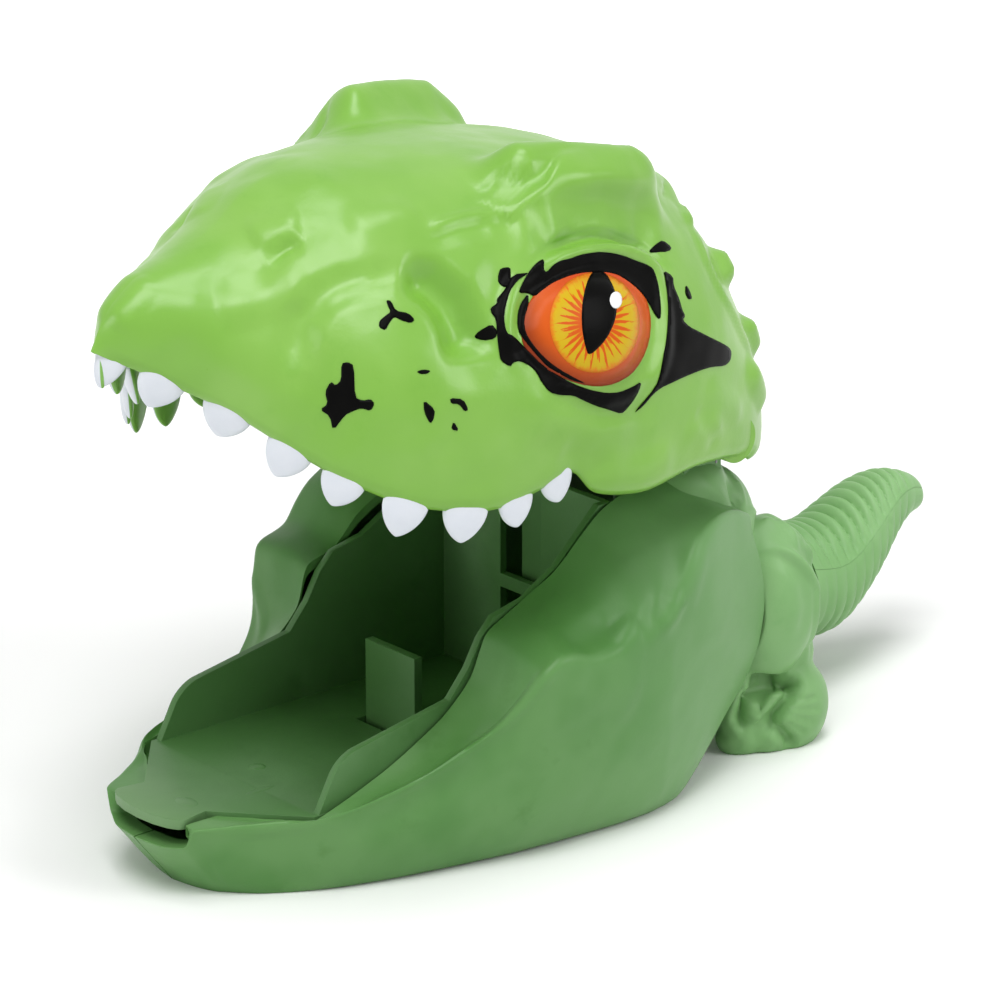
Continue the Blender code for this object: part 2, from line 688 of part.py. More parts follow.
def add_hinge_tower(casing, side):
    """An upright plate beside the tray that carries the head hinge pin."""
    arc = [math.radians(a) for a in range(-30, 211, 30)]
    top = [(HINGE_Y + TOWER_RADIUS * math.cos(a), HINGE_Z + TOWER_RADIUS * math.sin(a)) for a in arc]
    outline = top + [(HINGE_Y - 2 * TOWER_RADIUS, TOWER_FOOT_Z), (HINGE_Y + TOWER_RADIUS, TOWER_FOOT_Z)]
    tower = plate_across(outline, TOWER_INNER, TOWER_OUTER)
    join_form(casing, "hinge_tower", pick(tower, side))
    bore = cross_rod(TOWER_INNER - OVERSHOOT, TOWER_OUTER + OVERSHOOT, HINGE_Y, HINGE_Z,
                     HINGE_PIN + CLEARANCE, 18)
    take_away(casing, "hinge_bore", pick(bore, side))


# Screws

def screw(name, finish, start, along):
    """A pan-head screw whose head starts at a point and whose shank runs along a direction."""
    start = Vector(start)
    along = Vector(along)
    shoulder = start + along.normalized() * SCREW_HEAD_THICK
    part = add_part(name, rod(start, shoulder, SCREW_HEAD, 18), finish)
    shank = rod(shoulder - along.normalized() * SINK, shoulder + along, SCREW_SHANK, 12)
    join_form(part, "shank", shank)


def make_screws(finish):
    number = 0
    for x in (tray_screw_x(), -tray_screw_x()):
        for y in TRAY_SCREW_YS:
            number += 1
            screw(f"tray_screw_{number}", finish, (x, y, SCREW_RECESS), (0, 0, TRAY_SCREW_LENGTH))
    for name, y, z in CASING_SCREWS + HIND_SCREWS:
        head = -CROSS_SCREW_SEAT - SCREW_HEAD_THICK
        screw(name, finish, (head, y, z), (CROSS_SCREW_LENGTH, 0, 0))


# Head

def head_point(number, turn):
    """A point of the left half of the head: station number from the snout, turn from spine to lip."""
    spine_y, spine_z, lip_x, lip_y, lip_z, share = between(HEAD_STATIONS, number)
    fall = power(math.cos(turn), 2 / (share * HEAD_ROUNDNESS))
    spread = power(math.sin(turn), 2 / (share * HEAD_ROUNDNESS))
    point = Vector((max(lip_x, 0.0) * spread,
                    lip_y + (spine_y - lip_y) * fall,
                    lip_z + (spine_z - lip_z) * fall))
    return point + head_features(point) + fold_move(point)


def away_from(point, places):
    """Distance of a point from a line through places."""
    nearest = math.inf
    for start, end in zip(places, places[1:]):
        run = Vector(end) - Vector(start)
        f = min(max((point - Vector(start)).dot(run) / run.dot(run), 0.0), 1.0)
        nearest = min(nearest, (point - Vector(start) - run * f).length)
    return nearest


def fold_move(point):
    """Hollows and swellings, along the way out from the middle of the head."""
    front, rear, height = HEAD_CORE
    outward = (point - Vector((0, min(max(point.y, front), rear), height))).normalized()
    move = Vector((0, 0, 0))
    for places, radius, rise in HEAD_FOLDS:
        f = max(1 - (away_from(point, places) / radius) ** 2, 0.0)
        move += outward * (rise * f * f)
    return move


def head_features(point):
    """Brow, eye and cheek, as gentle moves of the smooth head."""
    back = ramp(BROW_FRONT, BROW_REAR, point.y)
    off = point.x - BROW_X - BROW_SPREAD * back
    across = math.exp(-abs(off / BROW_HALF_WIDTH) ** 3)
    along = (ramp(BROW_FRONT, BROW_FRONT + BROW_SLOPE, point.y)
             * (BROW_FRONT_SHARE + (1 - BROW_FRONT_SHARE) * back)
             * (1 - ramp(BROW_REAR - BROW_SLOPE, BROW_REAR, point.y - BROW_SLANT * off)))
    high = ramp(BROW_LOW, BROW_HIGH, point.z)
    move = Vector((0, 0, BROW_HEIGHT * across * along * high))
    for centre, radius, bulge in ((EYE_CENTRE, EYE_RADIUS, EYE_BULGE),
                                  (CHEEK_CENTRE, CHEEK_RADIUS, CHEEK_BULGE)):
        away = (point - Vector(centre)).length / radius
        move.x += bulge * math.exp(-away * away)
    return move


def make_head(finish, axis):
    steps = HEAD_STEPS_PER_STATION
    last = len(HEAD_STATIONS) - 1
    turns = [math.pi / 2 * row / (HEAD_ROWS - 1) for row in range(HEAD_ROWS)]
    turns.reverse()
    rows = [[head_point(step / steps, turn) for turn in turns] for step in range(last * steps + 1)]
    for row in rows:
        row[-1].x = 0.0
    for row in (rows[0], rows[-1]):
        for point in row:
            point.x = 0.0
    head = add_part("head_shell", sheet(rows), finish, axis)
    other_half = head.modifiers.new("other_half", "MIRROR")
    other_half.merge_threshold = 0.0001
    skin = head.modifiers.new("wall", "SOLIDIFY")
    skin.thickness = HEAD_WALL * MM
    skin.offset = -1.0
    join_form(head, "teeth", tooth_row())
    for sign in (1, -1):
        boss = cross_rod(sign * HEAD_BOSS_INNER, sign * HEAD_BOSS_OUTER, HINGE_Y, HINGE_Z, HEAD_BOSS)
        join_form(head, "hinge_boss", boss)
    reach = HINGE_PIN_HALF + CLEARANCE
    bore = cross_rod(-reach, reach, HINGE_Y, HINGE_Z, HINGE_PIN + CLEARANCE, 18)
    take_away(head, "hinge_pin_bore", bore)
    return head


def tooth_frame(number):
    """Where a tooth grows from the lip: its place, the lip's run, the way out and the way that it points."""
    lip = head_point(number, math.pi / 2)
    ahead = head_point(number + LIP_STEP, math.pi / 2)
    behind = head_point(number - LIP_STEP, math.pi / 2)
    run = (ahead - behind).normalized()
    rise = head_point(number, math.pi / 2 - LIP_STEP) - lip
    down = -(rise - run * rise.dot(run)).normalized()
    outward = down.cross(run)
    return lip, run, outward, down


def tooth_row():
    """Blunt flattened teeth along both sides of the lip."""
    form = bmesh.new()
    turns = [2 * math.pi * side / TOOTH_SIDES for side in range(TOOTH_SIDES)]
    for place, width in TEETH:
        lip, run, outward, down = tooth_frame(place)
        length = TOOTH_HEIGHT + TOOTH_ROOT
        rings = []
        for height, taper in TOOTH_TAPER:
            middle = lip - outward * (TOOTH_THICK / 2 + TOOTH_INSET) + down * (length * height - TOOTH_ROOT)
            rings.append([middle + run * (width / 2 * taper * math.cos(a))
                          + outward * (TOOTH_THICK / 2 * taper * math.sin(a)) for a in turns])
        for sign in (1, -1):
            add_rings(form, [[Vector((sign * p.x, p.y, p.z)) for p in ring] for ring in rings])
    return form


def make_hinge_pin(steel):
    pin = cross_rod(-HINGE_PIN_HALF, HINGE_PIN_HALF, HINGE_Y, HINGE_Z, HINGE_PIN)
    add_part("head_hinge_pin", pin, steel)


# Springs

def wire(name, points, radius, finish, axis=None):
    """One unbroken round wire through points in millimetres."""
    curve = bpy.data.curves.new(name, "CURVE")
    curve.dimensions = "3D"
    curve.bevel_depth = radius * MM
    curve.bevel_resolution = 1
    curve.use_fill_caps = True
    line = curve.splines.new("POLY")
    line.points.add(len(points) - 1)
    for spot, point in zip(line.points, points):
        spot.co = (*(Vector(point) * MM), 1.0)
    curve.materials.append(finish)
    part = bpy.data.objects.new(name, curve)
    PARTS.objects.link(part)
    if axis is not None:
        hang_on(part, axis)
    print(name, "least gap to itself", round(least_gap(points, radius), 2), "mm")


def least_gap(points, radius):
    """The smallest distance between the wire's surface and the next turns of the same wire."""
    apart = 2 * COIL_STEPS // 3
    pairs = ((a, b) for i, a in enumerate(points) for b in points[i + apart:])
    return min((Vector(a) - Vector(b)).length for a, b in pairs) - 2 * radius


def make_head_spring(steel):
    """A torsion spring round the hinge pin, with one leg on the tower and one on the head."""
    start = TOWER_OUTER + CLEARANCE + HEAD_SPRING_WIRE
    count = HEAD_SPRING_TURNS * COIL_STEPS
    points = []
    for i in range(count + 1):
        a = 2 * math.pi * i / COIL_STEPS
        points.append(Vector((start + HEAD_SPRING_PITCH * i / COIL_STEPS,
                              HINGE_Y + HEAD_SPRING_RADIUS * math.cos(a),
                              HINGE_Z + HEAD_SPRING_RADIUS * math.sin(a))))
    first_leg = points[0] - Vector((0, 0, HEAD_SPRING_LEG))
    last_leg = points[-1] + Vector((0, 0, HEAD_SPRING_LEG))
    wire("head_spring", [first_leg, *points, last_leg], HEAD_SPRING_WIRE / 2, steel)


def make_return_spring(steel, floor, ceiling):
    """A coil that pushes the tail lever back up."""
    low = floor + CLEARANCE + RETURN_SPRING_WIRE / 2
    high = ceiling - CLEARANCE - RETURN_SPRING_WIRE / 2
    count = RETURN_SPRING_TURNS * COIL_STEPS
    points = []
    for i in range(count + 1):
        a = 2 * math.pi * i / COIL_STEPS
        points.append(Vector((RETURN_SPRING_RADIUS * math.cos(a),
                              RETURN_SPRING_Y + RETURN_SPRING_RADIUS * math.sin(a),
                              low + (high - low) * i / count)))
    wire("tail_return_spring", points, RETURN_SPRING_WIRE / 2, steel)


# Hind body

def body_at(y):
    """Half width, bottom and top of the torso at a place along it."""
    ys = [station[0] for station in BODY_STATIONS]
    low = max(i for i, place in enumerate(ys[:-1]) if place <= max(y, ys[0]))
    _, half, bottom, top = between(BODY_STATIONS, low + (y - ys[low]) / (ys[low + 1] - ys[low]))
    return half, bottom, top


def body_ring(y, inset):
    """A half ring of the torso with a flat side on the seam."""
    half, bottom, top = body_at(y)
    middle = (bottom + top) / 2
    rear = ramp(BODY_STATIONS[-2][0], BODY_STATIONS[-1][0], y)
    ring = []
    for step in range(RING_STEPS + 1):
        a = math.pi * step / RING_STEPS - math.pi / 2
        x = (half - inset) * power(math.cos(a), 2 / BODY_ROUNDNESS)
        z = middle + ((top - bottom) / 2 - inset) * power(math.sin(a), 2 / BODY_ROUNDNESS)
        lean = BODY_REAR_LEAN * rear * (top - z) / (top - bottom)
        ring.append(Vector((max(x, 0.0) + CLEARANCE / 2, y - lean, z)))
    return ring


def body_wall_x(y, z):
    """Half width of the torso at a height on its side."""
    half, bottom, top = body_at(y)
    height = min(abs(2 * z - bottom - top) / (top - bottom), 1.0)
    return half * (1 - height ** BODY_ROUNDNESS) ** (1 / BODY_ROUNDNESS)


def make_hind_body(name, side, finish):
    first, last = BODY_STATIONS[0][0], BODY_STATIONS[-1][0]
    ys = [first + (last - first) * step / BODY_RINGS for step in range(BODY_RINGS + 1)]
    rings = [body_ring(y, 0.0) + body_ring(y, BODY_WALL)[::-1] for y in ys]
    body = add_part(name, pick(solid_loft(rings), side), finish)
    for limb, (centre, radii) in (("thigh", THIGH), ("shank", SHANK), ("foot", FOOT)):
        join_form(body, limb, pick(egg(centre, radii), side))
    add_tail_bearing(body, side)
    for _, y, z in HIND_SCREWS:
        add_cross_boss(body, side, y, z, body_wall_x, BODY_WALL)
    return body


def add_tail_bearing(body, side):
    """A bored boss for the tail pin."""
    outer = body_at(TAIL_PIVOT_Y)[0] - BODY_WALL / 2
    boss = cross_rod(TAIL_HUB_HALF + 2 * CLEARANCE, outer, TAIL_PIVOT_Y, TAIL_PIVOT_Z, TAIL_HUB)
    join_form(body, "tail_bearing", pick(boss, side))
    bore = cross_rod(0, TAIL_PIN_HALF + CLEARANCE, TAIL_PIVOT_Y, TAIL_PIVOT_Z, TAIL_PIN + CLEARANCE, 18)
    take_away(body, "tail_bearing_bore", pick(bore, side))


# Tail

def tail_ring(number, sign, inset, split):
    """A half ring of the tail above or below its side parting line."""
    y, centre, half_width, half_height = between(TAIL_STATIONS, number)
    ring = []
    for step in range(RING_STEPS + 1):
        a = math.pi * step / RING_STEPS
        x = (half_width - inset) * math.cos(a)
        z = centre + sign * (split + max(half_height - inset - split, NUDGE) * math.sin(a))
        ring.append(Vector((x, y, z)))
    return ring


def tail_half(sign):
    """One half of the tail as a solid, and the hollow inside it."""
    last = len(TAIL_STATIONS) - 1
    numbers = [step / 2 for step in range(2 * last + 1)]
    split = CLEARANCE / 2
    outer = solid_loft([tail_ring(number, sign, 0.0, split) for number in numbers])
    inside = [number for number in numbers if between(TAIL_STATIONS, number)[0] <= TAIL_CAVITY_END]
    rings = [tail_ring(number, sign, TAIL_WALL, split - OVERSHOOT) for number in inside]
    for point in rings[0]:
        point.y -= OVERSHOOT
    return outer, solid_loft(rings)


def lever_outline():
    """Side view of the lever, from its lifting end under the kicker to the web inside the tail."""
    drop = math.radians(KICKER_ARM_DROP)
    contact_y = KICKER_Y + KICKER_ARM * math.cos(drop)
    contact_z = KICKER_Z - KICKER_ARM * math.sin(drop) - KICKER_ARM_THICK / 2 * math.cos(drop)
    top = contact_z - CLEARANCE
    front = contact_y - LEVER_REACH
    root_y, root_z = TAIL_STATIONS[0][:2]
    web = [between(TAIL_STATIONS, number) for number in LEVER_WEB]
    floor = TAIL_WALL / 2
    return [(front, top), (LEVER_KNEE, top + LEVER_RISE),
            (TAIL_PIVOT_Y - TAIL_HUB, TAIL_PIVOT_Z + LEVER_ABOVE),
            (root_y, root_z + LEVER_ABOVE), (web[0][0], web[0][1] - OVERSHOOT),
            *((y, z - half + floor) for y, z, _, half in web), (root_y - CLEARANCE, root_z - LEVER_BELOW),
            (TAIL_PIVOT_Y, TAIL_PIVOT_Z - LEVER_BELOW), (LEVER_KNEE, top + LEVER_RISE - LEVER_THICK - SINK),
            (front, top - LEVER_THICK)]


def make_tail(finish, back_finish, steel, axis):
    outer, hollow = tail_half(-1)
    lever = add_part("tail_lever", outer, finish, axis)
    take_away(lever, "tail_lower_hollow", hollow)
    outline = lever_outline()
    join_form(lever, "lever_arm", plate_across(outline, -LEVER_HALF_WIDTH, LEVER_HALF_WIDTH))
    hub = cross_rod(-TAIL_HUB_HALF, TAIL_HUB_HALF, TAIL_PIVOT_Y, TAIL_PIVOT_Z, TAIL_HUB)
    join_form(lever, "lever_hub", hub)
    bore_half = TAIL_HUB_HALF + OVERSHOOT
    bore = cross_rod(-bore_half, bore_half, TAIL_PIVOT_Y, TAIL_PIVOT_Z, TAIL_PIN + CLEARANCE, 18)
    take_away(lever, "lever_bore", bore)
    outer, hollow = tail_half(1)
    back = add_part("tail_back", outer, back_finish, axis)
    take_away(back, "tail_upper_hollow", hollow)
    take_away(back, "lever_room", plate_across(grown(outline), -LEVER_HALF_WIDTH - CLEARANCE,
                                               LEVER_HALF_WIDTH + CLEARANCE))
    pin = cross_rod(-TAIL_PIN_HALF, TAIL_PIN_HALF, TAIL_PIVOT_Y, TAIL_PIVOT_Z, TAIL_PIN)
    add_part("tail_pin", pin, steel)


def grown(outline):
    """The same outline with room above it."""
    return [(y, z + CLEARANCE) for y, z in outline]


def lever_underside(y):
    """Height of the lever's lower edge between its hub and the tail."""
    root_y, root_z = TAIL_STATIONS[0][:2]
    f = (y - TAIL_PIVOT_Y) / (root_y - CLEARANCE - TAIL_PIVOT_Y)
    return TAIL_PIVOT_Z + f * (root_z - TAIL_PIVOT_Z) - LEVER_BELOW


def main():
    clear_scene()
    head_green = plastic("head_plastic", (0.26, 0.54, 0.10), 0.38)
    jaw_green = plastic("jaw_plastic", (0.10, 0.30, 0.08), 0.42)
    tray_green = plastic("tray_plastic", (0.07, 0.22, 0.06), 0.45)
    body_green = plastic("body_plastic", (0.17, 0.40, 0.14), 0.45)
    steel = plastic("pin_steel", (0.55, 0.55, 0.56), 0.3, 1.0)
    head_axis = axis_empty("head_axis", HINGE_Y, HINGE_Z)
    kicker_axis = axis_empty("kicker_axis", KICKER_Y, KICKER_Z)
    tail_axis = axis_empty("tail_axis", TAIL_PIVOT_Y, TAIL_PIVOT_Z)
    make_casing("jaw_casing_left", 1, jaw_green)
    make_casing("jaw_casing_right", -1, jaw_green)
    make_tray(tray_green)
    make_kicker(tray_green, steel, kicker_axis)
    make_head(head_green, head_axis)
    make_hinge_pin(steel)
    make_head_spring(steel)
    make_hind_body("hind_body_left", 1, body_green)
    make_hind_body("hind_body_right", -1, body_green)
    make_tail(body_green, body_green, steel, tail_axis)
    spring_floor = body_at(RETURN_SPRING_Y)[1] + BODY_WALL
    make_return_spring(steel, spring_floor, lever_underside(RETURN_SPRING_Y))
    make_screws(steel)


main()
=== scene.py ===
# %% [markdown]
# # A snapping dinosaur toy
# A hollow green jaw stands on a table, a toothed head swings on it, and the tail at the back is pressed
# to work a kicker in the mouth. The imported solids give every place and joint. This script lays the fine
# surfaces over them: moulded skin, painted teeth, a printed eye, wrinkles and the marks of the mould.

import json
import math

import bmesh
import bpy
import numpy as np
from mathutils import Matrix, Vector, noise
from mathutils.bvhtree import BVHTree
from mathutils.geometry import delaunay_2d_cdt

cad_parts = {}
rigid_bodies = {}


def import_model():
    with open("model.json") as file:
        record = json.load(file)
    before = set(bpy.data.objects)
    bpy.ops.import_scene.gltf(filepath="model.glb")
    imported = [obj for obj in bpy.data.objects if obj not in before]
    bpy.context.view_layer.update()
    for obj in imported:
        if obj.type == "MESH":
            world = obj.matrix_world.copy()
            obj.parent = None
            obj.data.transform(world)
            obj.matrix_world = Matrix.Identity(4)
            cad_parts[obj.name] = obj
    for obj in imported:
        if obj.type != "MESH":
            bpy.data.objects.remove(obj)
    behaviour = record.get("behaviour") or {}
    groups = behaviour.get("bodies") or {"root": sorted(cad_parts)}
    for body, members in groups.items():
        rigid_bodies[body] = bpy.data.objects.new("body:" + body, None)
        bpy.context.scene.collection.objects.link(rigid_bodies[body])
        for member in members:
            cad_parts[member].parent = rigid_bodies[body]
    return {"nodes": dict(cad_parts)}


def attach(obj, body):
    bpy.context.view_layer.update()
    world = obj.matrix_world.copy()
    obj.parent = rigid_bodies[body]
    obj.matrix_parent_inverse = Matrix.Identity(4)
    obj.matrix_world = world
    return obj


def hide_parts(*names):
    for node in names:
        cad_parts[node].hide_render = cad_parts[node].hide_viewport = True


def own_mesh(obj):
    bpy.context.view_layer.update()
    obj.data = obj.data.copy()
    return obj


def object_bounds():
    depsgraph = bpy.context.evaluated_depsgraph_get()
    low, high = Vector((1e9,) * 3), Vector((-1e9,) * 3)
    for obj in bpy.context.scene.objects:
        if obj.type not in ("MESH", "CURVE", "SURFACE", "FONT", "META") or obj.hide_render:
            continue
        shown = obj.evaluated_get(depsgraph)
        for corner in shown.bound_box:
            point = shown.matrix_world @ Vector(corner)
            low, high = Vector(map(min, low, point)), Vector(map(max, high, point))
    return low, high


for leftover in list(bpy.data.objects):
    bpy.data.objects.remove(leftover, do_unlink=True)
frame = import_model()
solid_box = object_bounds()
# Sizes below are in millimetres, and MM turns them into metres where a mesh is made.
MM = 0.001
corners = [[round(v / MM, 1) for v in corner] for corner in solid_box]
print("solids:", len(frame["nodes"]), "box in mm:", corners)

# %% [markdown]
# ## The camera comes first
# The toy was photographed from its front left, a little above the table, with a long lens. A camera
# could be placed by eye, but a few pixels that were read from the picture serve later to put printed
# marks and folds where they are seen, so its angle, distance and lens are written as numbers. The
# matrix has the camera's right, up and back directions as its columns.

# %% Camera and the rays behind its pixels
PHOTO_SIDE = 1000
CAMERA_AZIMUTH = math.radians(49.0)
CAMERA_ELEVATION = math.radians(19.4)
CAMERA_DISTANCE = 1000.0
CAMERA_TARGET = np.array((32.211, -37.745, 75.989))
CAMERA_LENS = 180.0
CAMERA_SENSOR = 36.0
# Shares of the camera's distance between which the toy stands, and how many places are tried there
NEAR_TOY, NEAR_TRIES = (0.85, 1.15), 121

back_way = np.array((math.sin(CAMERA_AZIMUTH) * math.cos(CAMERA_ELEVATION),
                     -math.cos(CAMERA_AZIMUTH) * math.cos(CAMERA_ELEVATION),
                     math.sin(CAMERA_ELEVATION)))
right_way = np.array((math.cos(CAMERA_AZIMUTH), math.sin(CAMERA_AZIMUTH), 0.0))
up_way = np.cross(back_way, right_way)
eye_point = CAMERA_TARGET + CAMERA_DISTANCE * back_way

lens = bpy.data.cameras.new("photo_camera")
lens.lens = CAMERA_LENS
lens.sensor_width = CAMERA_SENSOR
lens.clip_start = 0.05
lens.clip_end = 20.0
camera = bpy.data.objects.new("photo_camera", lens)
bpy.context.scene.collection.objects.link(camera)
columns = np.column_stack((right_way, up_way, back_way, eye_point * MM))
camera.matrix_world = Matrix([*columns.tolist(), [0, 0, 0, 1]])
bpy.context.scene.camera = camera


def pixel_ray(pixel):
    """The direction that the camera looks in at a pixel of the square photograph."""
    per_pixel = CAMERA_SENSOR / CAMERA_LENS / PHOTO_SIDE
    across, down = pixel[0] - PHOTO_SIDE / 2, pixel[1] - PHOTO_SIDE / 2
    way = -back_way + per_pixel * (across * right_way - down * up_way)
    return way / np.linalg.norm(way)


def beside(tree, way):
    """The point of a surface nearest to a ray that passes it by."""
    tries = [tree.find_nearest(Vector(eye_point + way * CAMERA_DISTANCE * share))
             for share in np.linspace(*NEAR_TOY, NEAR_TRIES)]
    return min(tries, key=lambda found: found[3])[:2]


def seen_at(tree, pixels):
    """The points of a surface that the camera sees at some pixels, and its normals there."""
    spots, normals = [], []
    for pixel in pixels:
        way = pixel_ray(pixel)
        spot, normal, _, _ = tree.ray_cast(Vector(eye_point), Vector(way))
        if spot is None:
            spot, normal = beside(tree, way)
        spots.append(spot)
        normals.append(normal if normal.dot(Vector(way)) < 0 else -normal)
    return np.array(spots), np.array(normals)


print("camera at", np.round(eye_point, 1), "mm")

# %% [markdown]
# ## Soft studio light
# The photograph is a catalogue picture with soft light and a dark mouth. One big lamp over the camera
# could light it all, but the sides would go flat, so four round softboxes share the work: a key lamp
# over the camera, one straight above, a weak one low in front of the snout, and one from the right that
# draws the bright edges of thigh and tail. Each is a disk lamp turned to the middle of the toy. They
# stay weak, so that a colour shows about as it is written.

# %% View and lamps
scene = bpy.context.scene
scene.view_settings.view_transform = "Standard"
# Places and sizes of the lamps in metres, and their power in watts
LAMP_TARGET = (0.0, 0.0, 0.06)
SOFTBOXES = (("key_softbox", (0.50, -0.60, 1.46), 0.8, 11.5),
             ("top_softbox", (0.10, 0.05, 1.70), 0.7, 8.0),
             ("front_softbox", (-0.45, -1.7, 0.50), 0.8, 6.5),
             ("right_softbox", (1.35, 0.75, 0.95), 0.8, 8.5))


def soft_lamp(name, place, side, power):
    data = bpy.data.lights.new(name, "AREA")
    data.shape = "DISK"
    data.size = side
    data.energy = power
    lamp = bpy.data.objects.new(name, data)
    lamp.location = place
    lamp.rotation_euler = (Vector(LAMP_TARGET) - Vector(place)).to_track_quat("-Z", "Y").to_euler()
    scene.collection.objects.link(lamp)


for softbox in SOFTBOXES:
    soft_lamp(*softbox)
print("lamps:", [softbox[0] for softbox in SOFTBOXES])

# %% [markdown]
# ## Sums of sockets
# A finish is a small graph of nodes, and sums drawn as boxes are hard to read. Here one class wraps a
# socket and gives it Python's operators, so that `1 - mask` adds the Math node by itself. A second
# class holds the material: its `node` method makes any other node from its type, its settings and what
# goes into its sockets.

# %% Fields and finishes


class Field:
    """A number that changes over a surface: one output socket of a finish."""

    def __init__(self, finish, socket):
        self.finish = finish
        self.socket = socket

    def maths(self, operation, first, second=0.0):
        return self.finish.node("ShaderNodeMath", {"operation": operation}, {0: first, 1: second})

    def __add__(self, other):
        return self.maths("ADD", self, other)

    def __radd__(self, other):
        return self.maths("ADD", other, self)

    def __sub__(self, other):
        return self.maths("SUBTRACT", self, other)

    def __rsub__(self, other):
        return self.maths("SUBTRACT", other, self)

    def __mul__(self, other):
        return self.maths("MULTIPLY", self, other)

    def __rmul__(self, other):
        return self.maths("MULTIPLY", other, self)

    def __truediv__(self, other):
        return self.maths("DIVIDE", self, other)

    def __pow__(self, other):
        return self.maths("POWER", self, other)

    def clipped(self):
        return self.finish.node("ShaderNodeClamp", {}, {"Value": self})

    def step(self, low, high):
        """A soft step from 0 at low to 1 at high."""
        return self.finish.node("ShaderNodeMapRange", {"interpolation_type": "SMOOTHSTEP"},
                                {"Value": self, "From Min": low, "From Max": high})


class Graph:
    """A node tree whose nodes are added by name."""

    def __init__(self, tree):
        self.tree = tree

    def feed(self, socket, value):
        if isinstance(value, Field):
            self.tree.links.new(value.socket, socket)
        elif socket.type == "RGBA":
            socket.default_value = (*value, 1.0)
        else:
            socket.default_value = value

    def node(self, kind, settings=None, sockets=None, out=0):
        made = self.tree.nodes.new(kind)
        for key, value in (settings or {}).items():
            setattr(made, key, value)
        for key, value in (sockets or {}).items():
            self.feed(made.inputs[key], value)
        return Field(self, made.outputs[out])

    def mix(self, share, first, second):
        """One colour that turns into another as a share goes from 0 to 1."""
        return self.node("ShaderNodeMix", {"data_type": "RGBA"}, {0: share, 6: first, 7: second}, out=2)

    def place(self):
        return self.node("ShaderNodeTexCoord", out="Object")

    def noise(self, scale, detail=2.0, rough=0.5, where=None):
        return self.node("ShaderNodeTexNoise", {},
                         {"Vector": where or self.place(), "Scale": scale, "Detail": detail,
                          "Roughness": rough})

    def seen(self):
        """1 for what the camera, a mirror or glass sees, and 0 for what only lights the scene."""
        rays = self.node("ShaderNodeLightPath", out="Is Camera Ray")
        for kind in ("Is Glossy Ray", "Is Transmission Ray"):
            rays = rays + self.node("ShaderNodeLightPath", out=kind)
        return rays.clipped()


class Finish(Graph):
    """A material with one shader, whose sockets are fed by name."""

    def __init__(self, name, **constants):
        self.material = bpy.data.materials.new(name)
        self.material.use_nodes = True
        super().__init__(self.material.node_tree)
        self.shader = self.tree.nodes["Principled BSDF"]
        for socket, value in constants.items():
            self.surface(socket.replace("_", " ").title().replace("Ior", "IOR"), value)

    def surface(self, socket, value):
        self.feed(self.shader.inputs[socket], value)

    def bumps(self, *layers):
        """Stacks bumps of a height in metres, and feeds them to the shader's normal."""
        normal = None
        for height, depth in layers:
            sockets = {"Height": height, "Distance": depth, "Strength": 1.0}
            if normal is not None:
                sockets["Normal"] = normal
            normal = self.node("ShaderNodeBump", {}, sockets)
        self.surface("Normal", normal)


# %% [markdown]
# ## White room and table
# A plain white world would light the mouth from the sides, so the room is bright overhead and dimmer at
# the horizon, and only the camera, mirrors and glass see it pure white. The table top is matt white
# paper. Away from the toy it glows a little, so that it runs into the white room with no edge, and near
# the toy it doesn't, so that the shadow stays.

# %% Room and floor
ROOF_LIGHT, HORIZON_LIGHT, ROOF_HEIGHT = 0.40, 0.19, 0.9
FLOOR_GLOW_NEAR, FLOOR_GLOW_FAR, GLOW_REACH = 0.03, 0.6, (0.12, 0.6)
WHITE = (1.0, 1.0, 1.0)
FLOOR_HALF = 3.0

room = bpy.data.worlds.new("white_room")
scene.world = room
room.use_nodes = True
sky = Graph(room.node_tree)
sky_way = sky.node("ShaderNodeTexCoord", out="Generated")
height = sky.node("ShaderNodeSeparateXYZ", {}, {0: sky_way}, out="Z")
glow = HORIZON_LIGHT + (ROOF_LIGHT - HORIZON_LIGHT) * height.step(0.0, ROOF_HEIGHT)
lighting = sky.node("ShaderNodeBackground", {}, {"Color": WHITE, "Strength": glow})
backdrop = sky.node("ShaderNodeBackground", {}, {"Color": WHITE, "Strength": 1.0})
room_light = sky.node("ShaderNodeMixShader", {}, {0: sky.seen(), 1: lighting, 2: backdrop})
sky.tree.links.new(room_light.socket, sky.tree.nodes["World Output"].inputs[0])

floor_form = bmesh.new()
bmesh.ops.create_grid(floor_form, x_segments=8, y_segments=8, size=FLOOR_HALF)
floor_mesh = bpy.data.meshes.new("table_top")
floor_form.to_mesh(floor_mesh)
floor_form.free()
floor = bpy.data.objects.new("table_top", floor_mesh)
scene.collection.objects.link(floor)
paper = Finish("white_paper", roughness=0.9, specular_ior_level=0.0, emission_strength=1.0)
paper.surface("Base Color", paper.mix(paper.noise(3.0), (0.955, 0.955, 0.955), (0.975, 0.975, 0.975)))
off_centre = paper.node("ShaderNodeVectorMath", {"operation": "LENGTH"}, {0: paper.place()}, out="Value")
far_glow = paper.mix(off_centre.step(*GLOW_REACH), (FLOOR_GLOW_NEAR,) * 3, (FLOOR_GLOW_FAR,) * 3)
paper.surface("Emission Color", paper.mix(paper.seen(), (0.0, 0.0, 0.0), far_glow))
floor_mesh.materials.append(paper.material)
print("floor of", 2 * FLOOR_HALF, "m in", room.name)
